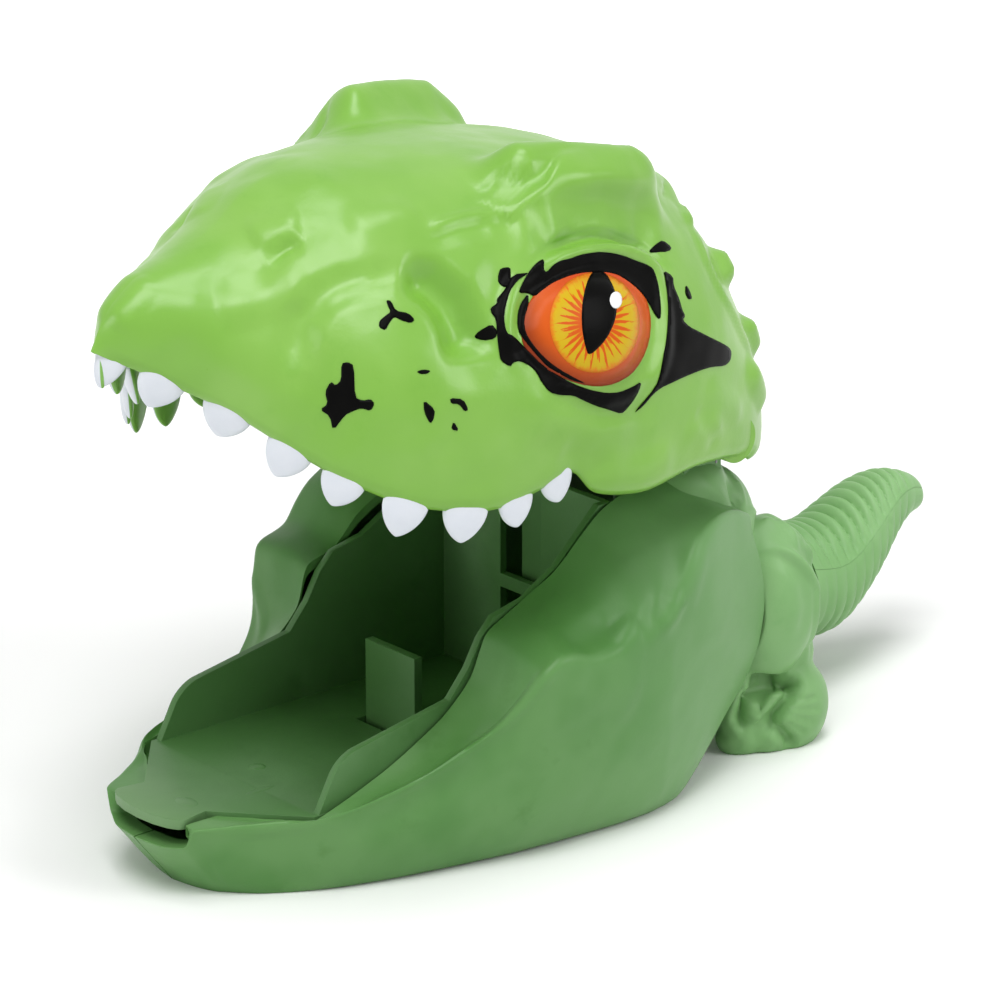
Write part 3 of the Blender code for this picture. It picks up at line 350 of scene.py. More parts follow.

# %% [markdown]
# ## Grids, strokes and pieces
# Most of the toy is moulded skin. It could be sculpted by hand with brushes, but a script can do the
# same: a fine grid is laid through given stations, and then strokes raise or dent it along its
# normals. A stroke is a line, a radius and a height, and the line's places are pixels of the
# photograph, cast onto the surface, so that a fold lies where it is seen. Points count by |x|, so
# both sides of the animal get it.

# %% Helpers for surfaces


def through(stations, at):
    """Rows of values at fractional station numbers, on smooth curves through the stations."""
    table = np.asarray(stations, float)
    last = len(table) - 1
    at = np.clip(np.asarray(at, float), 0, last)
    low = np.minimum(at.astype(int), last - 1)
    f = (at - low)[:, None]
    a, b = table[np.maximum(low - 1, 0)], table[low]
    c, d = table[low + 1], table[np.minimum(low + 2, last)]
    return b + 0.5 * f * (c - a + f * (2 * a - 5 * b + 4 * c - d + f * (3 * (b - c) + d - a)))


def ramp(low, high, value):
    """A soft step from 0 at low to 1 at high."""
    f = np.clip((value - low) / (high - low), 0.0, 1.0)
    return f * f * (3 - 2 * f)


def signed_power(value, exponent):
    return np.copysign(np.abs(value) ** exponent, value)


def evenly(line, count):
    """The same line with points at equal distances along it."""
    steps = np.linalg.norm(np.diff(line, axis=0), axis=1)
    run = np.concatenate(([0.0], np.cumsum(steps)))
    wanted = np.linspace(0.0, run[-1], count)
    return np.column_stack([np.interp(wanted, run, line[:, axis]) for axis in range(3)])


def grid_faces(rows, cols, wrap=False):
    index = np.arange(rows * cols).reshape(rows, cols)
    if wrap:
        index = np.column_stack((index, index[:, :1]))
    return np.stack((index[:-1, :-1], index[1:, :-1], index[1:, 1:], index[:-1, 1:]), -1).reshape(-1, 4)


def grid_normals(grid):
    normal = np.cross(np.gradient(grid, axis=0), np.gradient(grid, axis=1))
    return normal / np.maximum(np.linalg.norm(normal, axis=2, keepdims=True), 1e-9)


def tree_of(points, faces):
    return BVHTree.FromPolygons(points.reshape(-1, 3).tolist(), faces.tolist())


def far_from(points, line):
    """Distance of every point from a line through a few places, and how far along the line it lies."""
    nearest, along = np.full(len(points), np.inf), np.zeros(len(points))
    lengths = np.linalg.norm(np.diff(line, axis=0), axis=1)
    total = max(lengths.sum(), 1e-9)
    passed = 0.0
    for start, end, length in zip(line, line[1:], lengths):
        run = end - start
        f = np.clip(((points - start) @ run) / max(length ** 2, 1e-9), 0.0, 1.0)
        distance = np.linalg.norm(points - start - f[:, None] * run, axis=1)
        closer = distance < nearest
        nearest = np.where(closer, distance, nearest)
        along = np.where(closer, (passed + f * length) / total, along)
        passed += length
    return nearest, along


def soft(distance, radius):
    """1 on a line, falling smoothly to 0 at a radius."""
    f = np.clip(1 - (distance / radius) ** 2, 0.0, 1.0)
    return f * f


def stroke_line(tree, places):
    """A stroke's line in space: points as they are, pixels cast onto the surface."""
    return np.array(places, float) if len(places[0]) == 3 else seen_at(tree, places)[0]


STROKE_FADE = 0.22


def stroke_heights(points, tree, strokes):
    """What strokes add to each point, alike on both sides. A long stroke fades out at its ends."""
    folded = np.column_stack((np.abs(points[:, 0]), points[:, 1:]))
    height = np.zeros(len(points))
    for places, radius, rise in strokes:
        distance, along = far_from(folded, stroke_line(tree, places))
        fade = 1.0
        if len(places) > 2:
            fade = ramp(-STROKE_FADE / 3, STROKE_FADE, np.minimum(along, 1 - along))
        height += rise * fade * soft(distance, radius)
    return height


def lumps(points, size, seed):
    """Smooth bumps of about a size, between -1 and 1, alike on both sides."""
    shift = Vector((seed * 17.3, seed * 5.1, seed * 9.7))
    return np.array([noise.noise(Vector((abs(x), y, z)) / size + shift) for x, y, z in points])


def waviness(points, layers):
    """Lumps of several heights and sizes, laid over each other."""
    return sum(height * lumps(points, size, seed) for height, size, seed in layers)


def mesh_from(form, name):
    """A smooth mesh of a form, which is then let go."""
    mesh = bpy.data.meshes.new(name)
    form.to_mesh(mesh)
    form.free()
    mesh.shade_smooth()
    return mesh


def make_mesh(name, points, faces, weld=0.0, closed=False):
    """A smooth mesh in metres. Only a closed body can have its faces turned outwards by itself."""
    mesh = bpy.data.meshes.new(name)
    rows = [list(map(int, face)) for face in faces]
    mesh.from_pydata((np.asarray(points).reshape(-1, 3) * MM).tolist(), [], rows)
    form = bmesh.new()
    form.from_mesh(mesh)
    if weld:
        bmesh.ops.remove_doubles(form, verts=form.verts, dist=weld * MM)
    if closed:
        bmesh.ops.recalc_face_normals(form, faces=form.faces)
    form.to_mesh(mesh)
    form.free()
    mesh.shade_smooth()
    return mesh


def make_piece(name, mesh, finish, body, slot, *nodes):
    """A shown piece that rides on a body and may stand for solids of it."""
    piece = bpy.data.objects.new(name, mesh)
    scene.collection.objects.link(piece)
    mesh.materials.clear()
    mesh.materials.append(finish.material)
    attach(piece, body)
    if nodes:
        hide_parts(*nodes)
    print(name, "has", len(mesh.polygons), "faces")
    return piece


def add_wall(piece, thick):
    """Gives an open skin its wall, grown inwards."""
    wall = piece.modifiers.new("wall", "SOLIDIFY")
    wall.thickness = thick * MM
    wall.offset = -1.0
    return wall


# %% [markdown]
# ## Green plastics
# Each moulding is coloured in the mass, so there is no paint to chip: what varies is a slow drift of
# shade, a faint cloud of flow marks and the grain of the mould. One function makes them all from a
# colour, its lighter and deeper shades, and how glossy the mould was polished. Two of them also get
# painted light along the toy: the jaw is painted paler at the back, and the tongue paler at its tip.

# %% Plastics and steel


def moulded_plastic(name, colour, pale, deep, gloss, grain, shine, fade=None):
    """A plastic that may fade, between two places along the toy, into a paler tone painted in as light.
    """
    finish = Finish(name, specular_ior_level=shine)
    drift = finish.noise(32.0, 3.0, 0.55)
    clouds = finish.noise(120.0, 4.0, 0.6)
    shade = finish.mix(drift.step(0.42, 0.68), colour, pale)
    shade = finish.mix(clouds.step(0.55, 0.8) * 0.55, shade, deep)
    if fade:
        start, end, tone = fade
        along = finish.node("ShaderNodeSeparateXYZ", {}, {"Vector": finish.place()}, out="Y")
        # Painted light: past the two places the colour turns to the paler tone, which stands in for light
        # falling there.
        shade = finish.mix((along + 0.02 * (drift - 0.5)).step(start * MM, end * MM), shade, tone)
    finish.surface("Base Color", shade)
    fine = finish.noise(2600.0, 2.0, 0.5)
    finish.surface("Roughness", gloss + 0.10 * (clouds - 0.5) + 0.06 * (fine - 0.5))
    finish.bumps((fine, grain * MM), (clouds, 0.12 * MM))
    return finish


HEAD_GREEN = moulded_plastic("head_plastic", (0.192, 0.425, 0.052), (0.226, 0.460, 0.074),
                             (0.162, 0.388, 0.040), 0.31, 0.006, 0.44)
# Painted light: the jaw is painted paler towards its back, where more light falls on it.
JAW_GREEN = moulded_plastic("jaw_plastic", (0.086, 0.238, 0.056), (0.124, 0.284, 0.086),
                            (0.072, 0.206, 0.044), 0.40, 0.010, 0.28,
                            fade=(-30.0, 20.0, (0.158, 0.335, 0.118)))
# Painted light: the tongue is painted paler towards its tip, where more light falls on it.
TRAY_GREEN = moulded_plastic("tray_plastic", (0.070, 0.182, 0.049), (0.086, 0.206, 0.064),
                             (0.056, 0.156, 0.038), 0.42, 0.012, 0.32,
                             fade=(-86.0, -104.0, (0.150, 0.280, 0.116)))
BODY_GREEN = moulded_plastic("body_plastic", (0.200, 0.402, 0.148), (0.242, 0.452, 0.184),
                             (0.160, 0.355, 0.115), 0.42, 0.010, 0.30)


def turned_steel():
    finish = Finish("pin_steel", metallic=1.0)
    grain = finish.noise(900.0, 3.0, 0.6)
    finish.surface("Base Color", finish.mix(grain, (0.15, 0.15, 0.155), (0.22, 0.22, 0.225)))
    finish.surface("Roughness", 0.24 + 0.16 * grain)
    finish.bumps((grain, 0.01 * MM))
    return finish


PIN_STEEL = turned_steel()
print("finishes:", [m.name for m in bpy.data.materials])

# %% [markdown]
# ## The head
# One thin shell makes the whole upper head. Its stations run from the snout to the nape, each with a
# point on the spine and one on the lip, and a boxy oval joins the two. A modeller would next reach for
# the sculpting brushes: brow, cheek and eye swell out, and folds run between them. Here a brush stroke
# is a row of (places, radius, height), with places read as pixels of the photograph or, where it does
# not reach, as points in millimetres. The two brows are part of the sections, because they change the
# outline, and the right one stands higher than the left.

# %% Head skin
# Each station: y and z on the spine, x, y and z on the lip, and how boxy the section between them is
HEAD_STATIONS = (
    (-112.0, 119.5, 0.0, -114.2, 115.4, 0.89), (-108.5, 123.5, 6.5, -107.6, 111.0, 0.85),
    (-102.5, 127.8, 13.0, -98.0, 105.1, 0.81), (-94.0, 130.5, 21.0, -92.1, 100.3, 0.74),
    (-84.5, 134.5, 29.0, -86.2, 94.7, 0.69), (-75.0, 139.8, 37.0, -80.3, 90.0, 0.72),
    (-63.5, 143.0, 43.5, -73.2, 86.2, 0.78), (-50.0, 144.3, 48.0, -64.3, 83.8, 0.82),
    (-37.0, 144.0, 51.0, -54.1, 82.6, 0.89), (-24.5, 142.8, 51.5, -44.1, 83.9, 0.96),
    (-12.0, 140.5, 51.5, -34.9, 85.9, 0.96), (1.0, 137.8, 51.5, -28.2, 80.1, 0.93),
    (14.0, 132.5, 50.5, -13.8, 77.0, 0.87), (27.0, 123.5, 47.5, 2.7, 77.6, 0.76),
    (38.0, 110.5, 42.0, 19.5, 74.6, 0.65), (46.5, 95.5, 34.0, 30.5, 69.3, 0.61),
    (53.0, 80.0, 22.0, 42.5, 64.8, 0.61), (56.5, 66.0, 0.0, 55.0, 61.5, 0.74))
HEAD_ROUNDNESS = 2.7
HEAD_WALL = 2.0
SNOUT_THINS, NAPE_THINS = (-113.0, -106.0), (50.0, 56.0)
HEAD_ROWS_PER_STATION = 14
HEAD_COLUMNS = 92
BROW_X, BROW_SPREAD, BROW_SLANT, BROW_HALF_WIDTH = 28.0, 6.0, 0.5, 8.5
BROW_FRONT, BROW_SLOPE, BROW_FRONT_SHARE = -39.0, 12.0, 0.66
LEFT_BROW, RIGHT_BROW = (11.4, 12.5), (13.6, 9.0)
BROW_LOW, BROW_HIGH = 121.5, 131.5
SECTION_POINTS = 300
# Round swellings of the side: centre, radius and height, and how far from the spine they are full
SWELLINGS = (((47.0, -26.0, 113.5), 13.0, 2.4), ((45.0, -73.0, 113.0), 19.0, 3.0))
SWELL_FULL = 20.0
LIP_ROLL, LIP_ROLL_DEPTH = 3.2, 1.1


def head_section(number, brow=LEFT_BROW):
    """Half the head from spine to lip at a station number. A brow is its height and rear end."""
    brow_height, brow_rear = brow
    spine_y, spine_z, lip_x, lip_y, lip_z, share = through(HEAD_STATIONS, [number])[0]
    roundness = share * HEAD_ROUNDNESS
    turn = np.linspace(0.0, math.pi / 2, SECTION_POINTS)
    fall = np.abs(np.cos(turn)) ** (2 / roundness)
    spread = np.abs(np.sin(turn)) ** (2 / roundness)
    line = np.column_stack((max(lip_x, 0.0) * spread, lip_y + (spine_y - lip_y) * fall,
                            lip_z + (spine_z - lip_z) * fall))
    x, y, z = line.T
    back = ramp(BROW_FRONT, brow_rear, y)
    off = x - BROW_X - BROW_SPREAD * back
    across = np.exp(-np.abs(off / BROW_HALF_WIDTH) ** 3)
    along = ramp(BROW_FRONT, BROW_FRONT + BROW_SLOPE, y)
    along *= BROW_FRONT_SHARE + (1 - BROW_FRONT_SHARE) * back
    along *= 1 - ramp(brow_rear - BROW_SLOPE, brow_rear, y - BROW_SLANT * off)
    rise = brow_height * across * along * ramp(BROW_LOW, BROW_HIGH, z)
    out = np.zeros(len(line))
    for centre, radius, bulge in SWELLINGS:
        out += bulge * np.exp(-(np.linalg.norm(line - np.array(centre), axis=1) / radius) ** 2)
    line[:, 2] += rise
    if lip_x > 0:
        line[:, 0] += out * ramp(0.0, SWELL_FULL, x)
    return evenly(line, HEAD_COLUMNS + 1)


last_station = len(HEAD_STATIONS) - 1
head_numbers = np.linspace(0.0, last_station, last_station * HEAD_ROWS_PER_STATION + 1)
left_half = np.array([head_section(number) for number in head_numbers])
left_half[:, 0, 0] = 0.0
right_half = np.array([head_section(number, RIGHT_BROW) for number in head_numbers])
right_half = right_half[:, :0:-1] * np.array((-1.0, 1.0, 1.0))
head_grid = np.concatenate((right_half, left_half), axis=1)
quads = grid_faces(*head_grid.shape[:2])[:, ::-1]
head_faces = np.vstack((quads[:, [0, 1, 2]], quads[:, [0, 2, 3]]))
head_tree = tree_of(head_grid, head_faces)
print("head grid", head_grid.shape)

# %% [markdown]
# The eye is moulded into the side of the head: a ball in an almond opening with swollen lids. The
# opening is read as an outline in the photograph. Every point of the head is put through the camera,
# and its distance from that outline says how far the ball rises there.

# %% Outlines read from the photograph
EYE_OPENING = ((520, 330), (523, 346), (532, 358), (545, 368), (560, 377), (578, 384), (597, 387),
               (615, 384), (631, 375), (642, 360), (649, 342), (651, 322), (648, 303), (639, 287),
               (624, 276), (606, 270), (588, 270), (568, 274), (550, 282), (535, 293), (525, 309))


def pixels_of(points):
    """Where the camera sees points."""
    off = points - eye_point
    depth = -(off @ back_way)
    scale = PHOTO_SIDE * CAMERA_LENS / CAMERA_SENSOR / depth
    return np.column_stack((PHOTO_SIDE / 2 + scale * (off @ right_way),
                            PHOTO_SIDE / 2 - scale * (off @ up_way)))


def inside(outline, spots):
    """Which flat spots lie inside an outline."""
    outline = np.asarray(outline, float)
    found = np.zeros(len(spots), bool)
    for (x0, y0), (x1, y1) in zip(outline, np.roll(outline, -1, axis=0)):
        crosses = (y0 > spots[:, 1]) != (y1 > spots[:, 1])
        rise = y1 - y0 if y1 != y0 else 1e-9
        found ^= crosses & (spots[:, 0] < x0 + (spots[:, 1] - y0) * (x1 - x0) / rise)
    return found


def depth_inside(outline, spots):
    """Distance from an outline, above zero inside it."""
    closed = np.vstack((outline, outline[:1])).astype(float)
    distance, _ = far_from(np.asarray(spots, float), closed)
    return np.where(inside(outline, spots), distance, -distance)


print("eye opening of", len(EYE_OPENING), "points")

# %% [markdown]
# Now the brushes. On the real toy the mould was carved: a flat face on the front of the left brow, lids,
# a cheek with a valley behind it, folds, and scutes along the nape. A displacement picture could hold
# such relief, but strokes stay readable and can be moved one by one. The shell then gets its wall, which
# thins towards snout and nape, where the sides come together and leave it no room.

# %% Head strokes
PIXELS_PER_MM = 5.0
EYE_RISE, EYE_SHOULDER, SOCKET_DEPTH, SOCKET_WIDTH = 1.7, 6.0, 0.8, 3.0
FACET, FACET_EDGE, FACET_REACH = ((476, 195), (511, 214), (546, 184), (562, 149)), 0.9, 5.0
HEAD_STROKES = (
    # Soft rim of the round cheek, its thin upper edge and the deep valley behind it
    (((299, 372), (297, 345), (304, 318), (320, 296), (345, 283), (375, 277), (410, 277)), 5.5, -1.2),
    (((322, 304), (340, 292), (365, 284), (393, 280), (415, 284)), 1.6, 0.28),
    (((400, 272), (430, 280), (451, 300), (464, 326), (472, 362)), 7.0, -4.6),
    # Nostril: a soft dent with a thin crease, under a swollen rim
    (((266, 262), (282, 249), (300, 240)), 3.6, -0.8),
    (((274, 256), (287, 247), (301, 241)), 1.4, -0.5),
    (((248, 238), (272, 226), (302, 222)), 6.0, 0.8),
    # Shoulder of the snout, the fold below the nostril and the edge at the front
    (((190, 212), (262, 182), (340, 172)), 12.0, 0.9),
    (((215, 305), (262, 297), (310, 278)), 7.0, 0.9),
    (((215, 288), (255, 278)), 5.0, -0.4),
    (((112, 330), (124, 304), (150, 276)), 5.0, 0.5),
    (((345, 230), (385, 220), (420, 212)), 7.0, 0.7),
    # Brow: the crease along its inner edge, the rims of its front facet and the fold that runs to it
    (((470, 199), (495, 180), (520, 165), (545, 153), (580, 144)), 1.8, -0.7),
    (((474, 194), (490, 204), (511, 214), (530, 198), (546, 183)), 1.5, 0.5),
    (((560, 179), (590, 178), (625, 182), (655, 194)), 4.0, 0.5),
    (((425, 232), (455, 220), (482, 214), (514, 213)), 2.2, 0.9),
    (((425, 240), (455, 230), (495, 223)), 4.0, -0.6),
    (((505, 224), (510, 242)), 3.6, -0.5), (((538, 212), (545, 234)), 3.6, -0.5),
    # Round mass of the brow and the hollow between it and the upper lid
    (((540, 178), (580, 172), (620, 174), (655, 192)), 8.0, 0.6),
    (((552, 222), (575, 212), (605, 206), (640, 214), (660, 232)), 7.5, -1.9),
    # Lids: the upper rim with its crease, the lower lid and the front corner
    (((534, 272), (558, 256), (580, 249), (600, 246), (622, 248), (642, 257), (656, 270), (662, 286)),
     3.0, 1.8),
    (((658, 276), (666, 318), (665, 345), (659, 370), (646, 394)), 3.0, 0.7),
    (((538, 258), (556, 247), (578, 239), (600, 236), (624, 238), (648, 248), (666, 266)), 2.2, -2.4),
    (((552, 243), (578, 233), (600, 229), (624, 231), (650, 241), (668, 258)), 4.5, -0.9),
    (((556, 381), (580, 391), (605, 396), (630, 390), (648, 374)), 3.0, 0.8),
    (((519, 274), (511, 294), (508, 315), (510, 335), (520, 352)), 2.8, 0.8),
    (((500, 260), (490, 300), (490, 335), (502, 370)), 5.0, -0.8),
    (((520, 388), (552, 412), (592, 428), (640, 426)), 8.0, 0.9),
    (((530, 374), (560, 399), (600, 415), (646, 408)), 3.0, -0.7),
    # Round outer end of the brow
    (((630, 158), (658, 178), (674, 206)), 7.5, 2.6),
    # Edge between the side of the head and the scutes of the nape
    (((683, 216), (706, 262), (722, 296), (739, 330), (752, 362)), 2.6, 0.9),
    # Swellings at the corner of the mouth
    (((688, 425), (706, 432), (722, 420)), 5.0, 0.8),
    (((600, 470), (640, 474), (676, 456)), 6.0, 0.9),
    (((700, 418), (712, 440)), 3.0, -0.6),
    (((560, 450), (590, 460), (600, 478)), 5.0, -0.6),
    (((715, 395), (735, 410)), 5.0, 0.6),
    # Scutes along the edge of the nape, and a low knob on the crown
    (((716, 262), (721, 273)), 4.2, 3.0),
    (((745, 329), (751, 341)), 4.2, 2.6),
    (((751, 376), (757, 392)), 5.5, 2.0),
    (((683, 214), (686, 220)), 2.6, 1.2),
    (((-4.0, 15.0, 134.5), (4.0, 17.0, 134.0)), 5.0, 1.6))
HEAD_LUMPS = ((0.30, 11.0, 1), (0.14, 5.0, 2))
EYE_CALM = 4.0
THINNEST = 0.04


def flat_front(grid):
    """The front of the left brow pressed to one flat face inside its outline."""
    corners, _ = seen_at(head_tree, FACET)
    middle = corners.mean(axis=0)
    facing = np.linalg.svd(corners - middle)[2][2]
    points = grid.reshape(-1, 3)
    off = (middle - points) @ facing
    share = ramp(-FACET_EDGE, FACET_EDGE, depth_inside(FACET, pixels_of(points)) / PIXELS_PER_MM)
    share *= 1 - ramp(FACET_REACH / 2, FACET_REACH, np.abs(off))
    share *= points[:, 0] > 0
    print("brow face moved by up to", round(float(np.abs(off * share).max()), 2), "mm")
    return (points + facing * (off * share)[:, None]).reshape(grid.shape)


def sculpt_head(grid):
    """The head with its strokes, eyes, slight waviness and rolled lip."""
    points = grid.reshape(-1, 3)
    normals = -grid_normals(grid).reshape(-1, 3)
    height = stroke_heights(points, head_tree, HEAD_STROKES)
    folded = np.column_stack((np.abs(points[:, 0]), points[:, 1:]))
    depth = depth_inside(EYE_OPENING, pixels_of(folded)) / PIXELS_PER_MM
    depth = np.where(folded[:, 0] > BROW_X, depth, -1e3)
    eye_ball = EYE_RISE * ramp(-SOCKET_WIDTH / 2, EYE_SHOULDER, depth)
    height += eye_ball - SOCKET_DEPTH * soft(depth, SOCKET_WIDTH)
    height += (1 - soft(np.minimum(depth, 0.0), EYE_CALM)) * waviness(points, HEAD_LUMPS)
    from_lip = np.minimum(np.arange(grid.shape[1]), np.arange(grid.shape[1])[::-1])
    step = np.linalg.norm(np.diff(grid, axis=1), axis=2).mean(axis=1)
    reach = np.clip(1 - (from_lip[None, :] * step[:, None]) / LIP_ROLL, 0.0, 1.0)
    height -= LIP_ROLL_DEPTH * (reach ** 2).reshape(-1)
    height *= ramp(0.0, 1.0, np.repeat(head_numbers, grid.shape[1]))
    moved = (points + normals * height[:, None]).reshape(grid.shape)
    moved[:, HEAD_COLUMNS, 0] = 0.0
    return moved


head_grid = flat_front(head_grid)
head_tree = tree_of(head_grid, head_faces)
head_grid = sculpt_head(head_grid)
head_skin = make_piece("head_skin", make_mesh("head_skin", head_grid, head_faces, weld=0.02),
                       HEAD_GREEN, "head", "head_plastic", "head_shell")
wall = add_wall(head_skin, HEAD_WALL)
thin_ends = head_skin.vertex_groups.new(name="wall")
for vertex in head_skin.data.vertices:
    y = vertex.co.y / MM
    share = ramp(*SNOUT_THINS, y) * (1 - ramp(*NAPE_THINS, y))
    thin_ends.add([vertex.index], float(share), "REPLACE")
wall.vertex_group = thin_ends.name
wall.thickness_vertex_group = THINNEST
head_tree = tree_of(head_grid, head_faces)

# %% [markdown]
# ## Teeth
# The teeth are moulded with the head, and only their outer faces are painted white, so from inside the
# mouth they are green. A cone would be too sharp: each one is a broad shield with a round end, lofted
# down from the lip, and an attribute on its points says where the paint lies.

# %% Teeth
# Each tooth: its station number along the lip, its width and its height
TEETH = ((0.5, 6.2, 6.4), (1.4, 9.6, 6.2), (2.48, 10.4, 6.6), (3.74, 9.6, 6.7), (4.81, 9.0, 6.1),
         (6.12, 9.2, 6.9), (7.36, 9.6, 6.6), (8.5, 8.5, 5.8), (9.58, 8.4, 5.8))
TOOTH_THICK, TOOTH_ROOT, TOOTH_INSET, TOOTH_CURL = 2.6, 2.2, 0.45, 0.7
TOOTH_RINGS, TOOTH_SIDES = 22, 36
# How soon a tooth gets narrow, how round its end is, and how square its section is each way
TOOTH_TAPER, TOOTH_END, TOOTH_FLATTENS = 1.8, 0.7, 0.6
TOOTH_SQUARE_WIDE, TOOTH_SQUARE_THICK = 0.8, 0.9
TOOTH_TIP_LEAST = 0.0004
LIP_STEP, ROOT_POINT = 0.25, -9


def lip_point(number):
    return head_section(float(number))[-1]


def tooth_rings(place, width, height):
    """Rings of one tooth from its root inside the lip to its round end."""
    lip = lip_point(place)
    run = lip_point(place + LIP_STEP) - lip_point(place - LIP_STEP)
    run /= np.linalg.norm(run)
    rise = head_section(place)[ROOT_POINT] - lip
    down = -(rise - run * (rise @ run))
    down /= np.linalg.norm(down)
    outward = np.cross(down, run)
    turn = np.linspace(0.0, 2 * math.pi, TOOTH_SIDES, endpoint=False)
    rings = []
    for share in np.linspace(0.0, 1.0, TOOTH_RINGS):
        grown = math.sin(share * math.pi / 2)
        shown = max((grown * (height + TOOTH_ROOT) - TOOTH_ROOT) / height, 0.0)
        taper = max(1 - shown ** TOOTH_TAPER, TOOTH_TIP_LEAST) ** TOOTH_END
        thick = TOOTH_THICK / 2 * taper ** TOOTH_FLATTENS
        middle = (lip - outward * (TOOTH_THICK / 2 + TOOTH_INSET + TOOTH_CURL * grown ** 2)
                  + down * ((height + TOOTH_ROOT) * grown - TOOTH_ROOT))
        wide = width / 2 * taper * signed_power(np.cos(turn), TOOTH_SQUARE_WIDE)
        deep = thick * signed_power(np.sin(turn), TOOTH_SQUARE_THICK)
        rings.append(middle + np.outer(wide, run) + np.outer(deep, outward))
    return np.array(rings), np.tile(np.sin(turn), TOOTH_RINGS)


def teeth_mesh():
    points, faces, paint = [], [], []
    for place, width, height in TEETH:
        rings, facing = tooth_rings(place, width, height)
        for side in (1.0, -1.0):
            start = len(points)
            points.extend((rings.reshape(-1, 3) * np.array((side, 1.0, 1.0))).tolist())
            faces.extend((grid_faces(TOOTH_RINGS, TOOTH_SIDES, wrap=True) + start).tolist())
            faces.append(list(range(start, start + TOOTH_SIDES)))
            faces.append(list(range(len(points) - TOOTH_SIDES, len(points))))
            paint.extend(facing.tolist())
    mesh = make_mesh("teeth", points, faces, closed=True)
    coat = mesh.attributes.new("paint", "FLOAT", "POINT")
    coat.data.foreach_set("value", np.array(paint, np.float32))
    return mesh


def painted_tooth():
    finish = Finish("tooth_paint", specular_ior_level=0.5)
    facing = finish.node("ShaderNodeAttribute", {"attribute_name": "paint"}, out="Fac")
    drift = finish.noise(260.0, 3.0, 0.55)
    white = finish.mix(drift, (0.66, 0.70, 0.76), (0.74, 0.77, 0.82))
    edge = (facing + 0.06 * (drift - 0.5)).step(-0.06, 0.06)
    finish.surface("Base Color", finish.mix(edge, (0.19, 0.43, 0.07), white))
    finish.surface("Roughness", 0.34 + 0.10 * (drift - 0.5))
    finish.bumps((finish.noise(1500.0), 0.006 * MM))
    return finish


make_piece("teeth", teeth_mesh(), painted_tooth(), "head", "head_plastic")

# %% [markdown]
# ## The printed eye and the black marks
# On the toy these are inks pressed on with a soft pad. A texture picture could hold them, but thin
# patches keep a sharp edge at any distance: each outline is filled with small triangles, cast from the
# camera onto the head, and lifted by a hair. Later layers are lifted further, as inks lie on each other.

# %% Outlines of the inks
IRIS_CENTRE, IRIS_RADII = (594.4, 322.5), (44.8, 49.8)
GLINT_CENTRE, GLINT_RADII = (615.2, 300.4), (6, 8.3)
PUPIL = ((592.8, 271.4), (604.4, 271.7), (612.7, 286.3), (616.8, 299.6), (615.2, 319.5), (606, 339.4),
         (588.6, 356.8), (584.5, 346), (581.2, 326), (581.5, 306.2), (584.5, 289.6), (588.6, 278))
UPPER_LINER = ((518.5, 293), (520.6, 286), (528, 273), (534.7, 264.8), (543, 259), (544.3, 263.4),
               (543.5, 269.8), (546.3, 272.2), (553, 264.8), (559.6, 260.6), (569.6, 258.5),
               (579.5, 254.8), (589.5, 252.8), (601, 251.8), (612.7, 252.8), (624.3, 255.7),
               (635.9, 260.6), (645.8, 263.9), (652.5, 268), (655.8, 276.4), (658.3, 286.3),
               (659.9, 297.9), (660.8, 309.6), (660.4, 317.8), (658.3, 319.2), (654, 313.7),
               (649.2, 304.6), (642.5, 294.6), (634.2, 286.3), (624.3, 278.9), (614.3, 273.9),
               (604.4, 272.2), (592.8, 272.2), (579.5, 273.4), (566.2, 277.2), (553, 283), (543, 289.7),
               (534.7, 297), (528, 293))
LOWER_LINER = ((528, 293), (520.6, 303), (517.3, 313), (516.8, 326), (519.8, 334.4), (526.4, 342.7),
               (534.7, 352.7), (546.3, 366), (559.6, 374.2), (573, 381), (586, 384), (579.5, 380),
               (568, 374), (554.6, 366), (543, 356), (533, 344.4), (525.6, 332.8), (524, 319.5),
               (528.5, 306))
FRONT_BAND = ((528, 273), (513, 274.7), (505, 289.7), (500.5, 295), (496.5, 299.5), (497, 304),
              (490, 308), (491.5, 313.5), (496, 319.5), (497, 336), (499, 352.7), (500.7, 361),
              (510, 366.8), (513, 362.6), (520, 361), (530, 366), (536.4, 372.6), (541.4, 382.5),
              (549.7, 392.5), (559.6, 395), (573, 395), (583, 400), (596, 405.7), (609.4, 410),
              (621, 414), (626, 409), (632.6, 400.8), (638.4, 390.8), (641, 381.7), (632.6, 386.7),
              (619.3, 392.5), (606, 393.3), (592.8, 390.8), (579.5, 386.7), (566, 380), (553, 372.6),
              (541.4, 364.3), (530, 352.7), (521.5, 344.4), (513, 336), (506.5, 332.8), (504, 319.5),
              (505.7, 306), (510, 291), (516.5, 281.4), (527, 274))
REAR_WEDGE = ((663, 270.6), (672.4, 276.4), (673, 286), (679, 299.6), (681.5, 309.6), (684.8, 316),
              (682, 320), (689, 327), (700.6, 332.8), (712, 338.6), (722, 343.5), (728.8, 347.7),
              (731, 352.7), (729.6, 361), (724, 366), (712, 366.8), (700.6, 370), (684, 376.7),
              (670.7, 383), (660.8, 387.5), (652.5, 394), (643, 405.7), (632.6, 414), (655.8, 386.7),
              (660, 374), (663, 357.6), (665.7, 342.7), (667.4, 326), (668, 309.6), (667, 293),
              (665, 279.7))
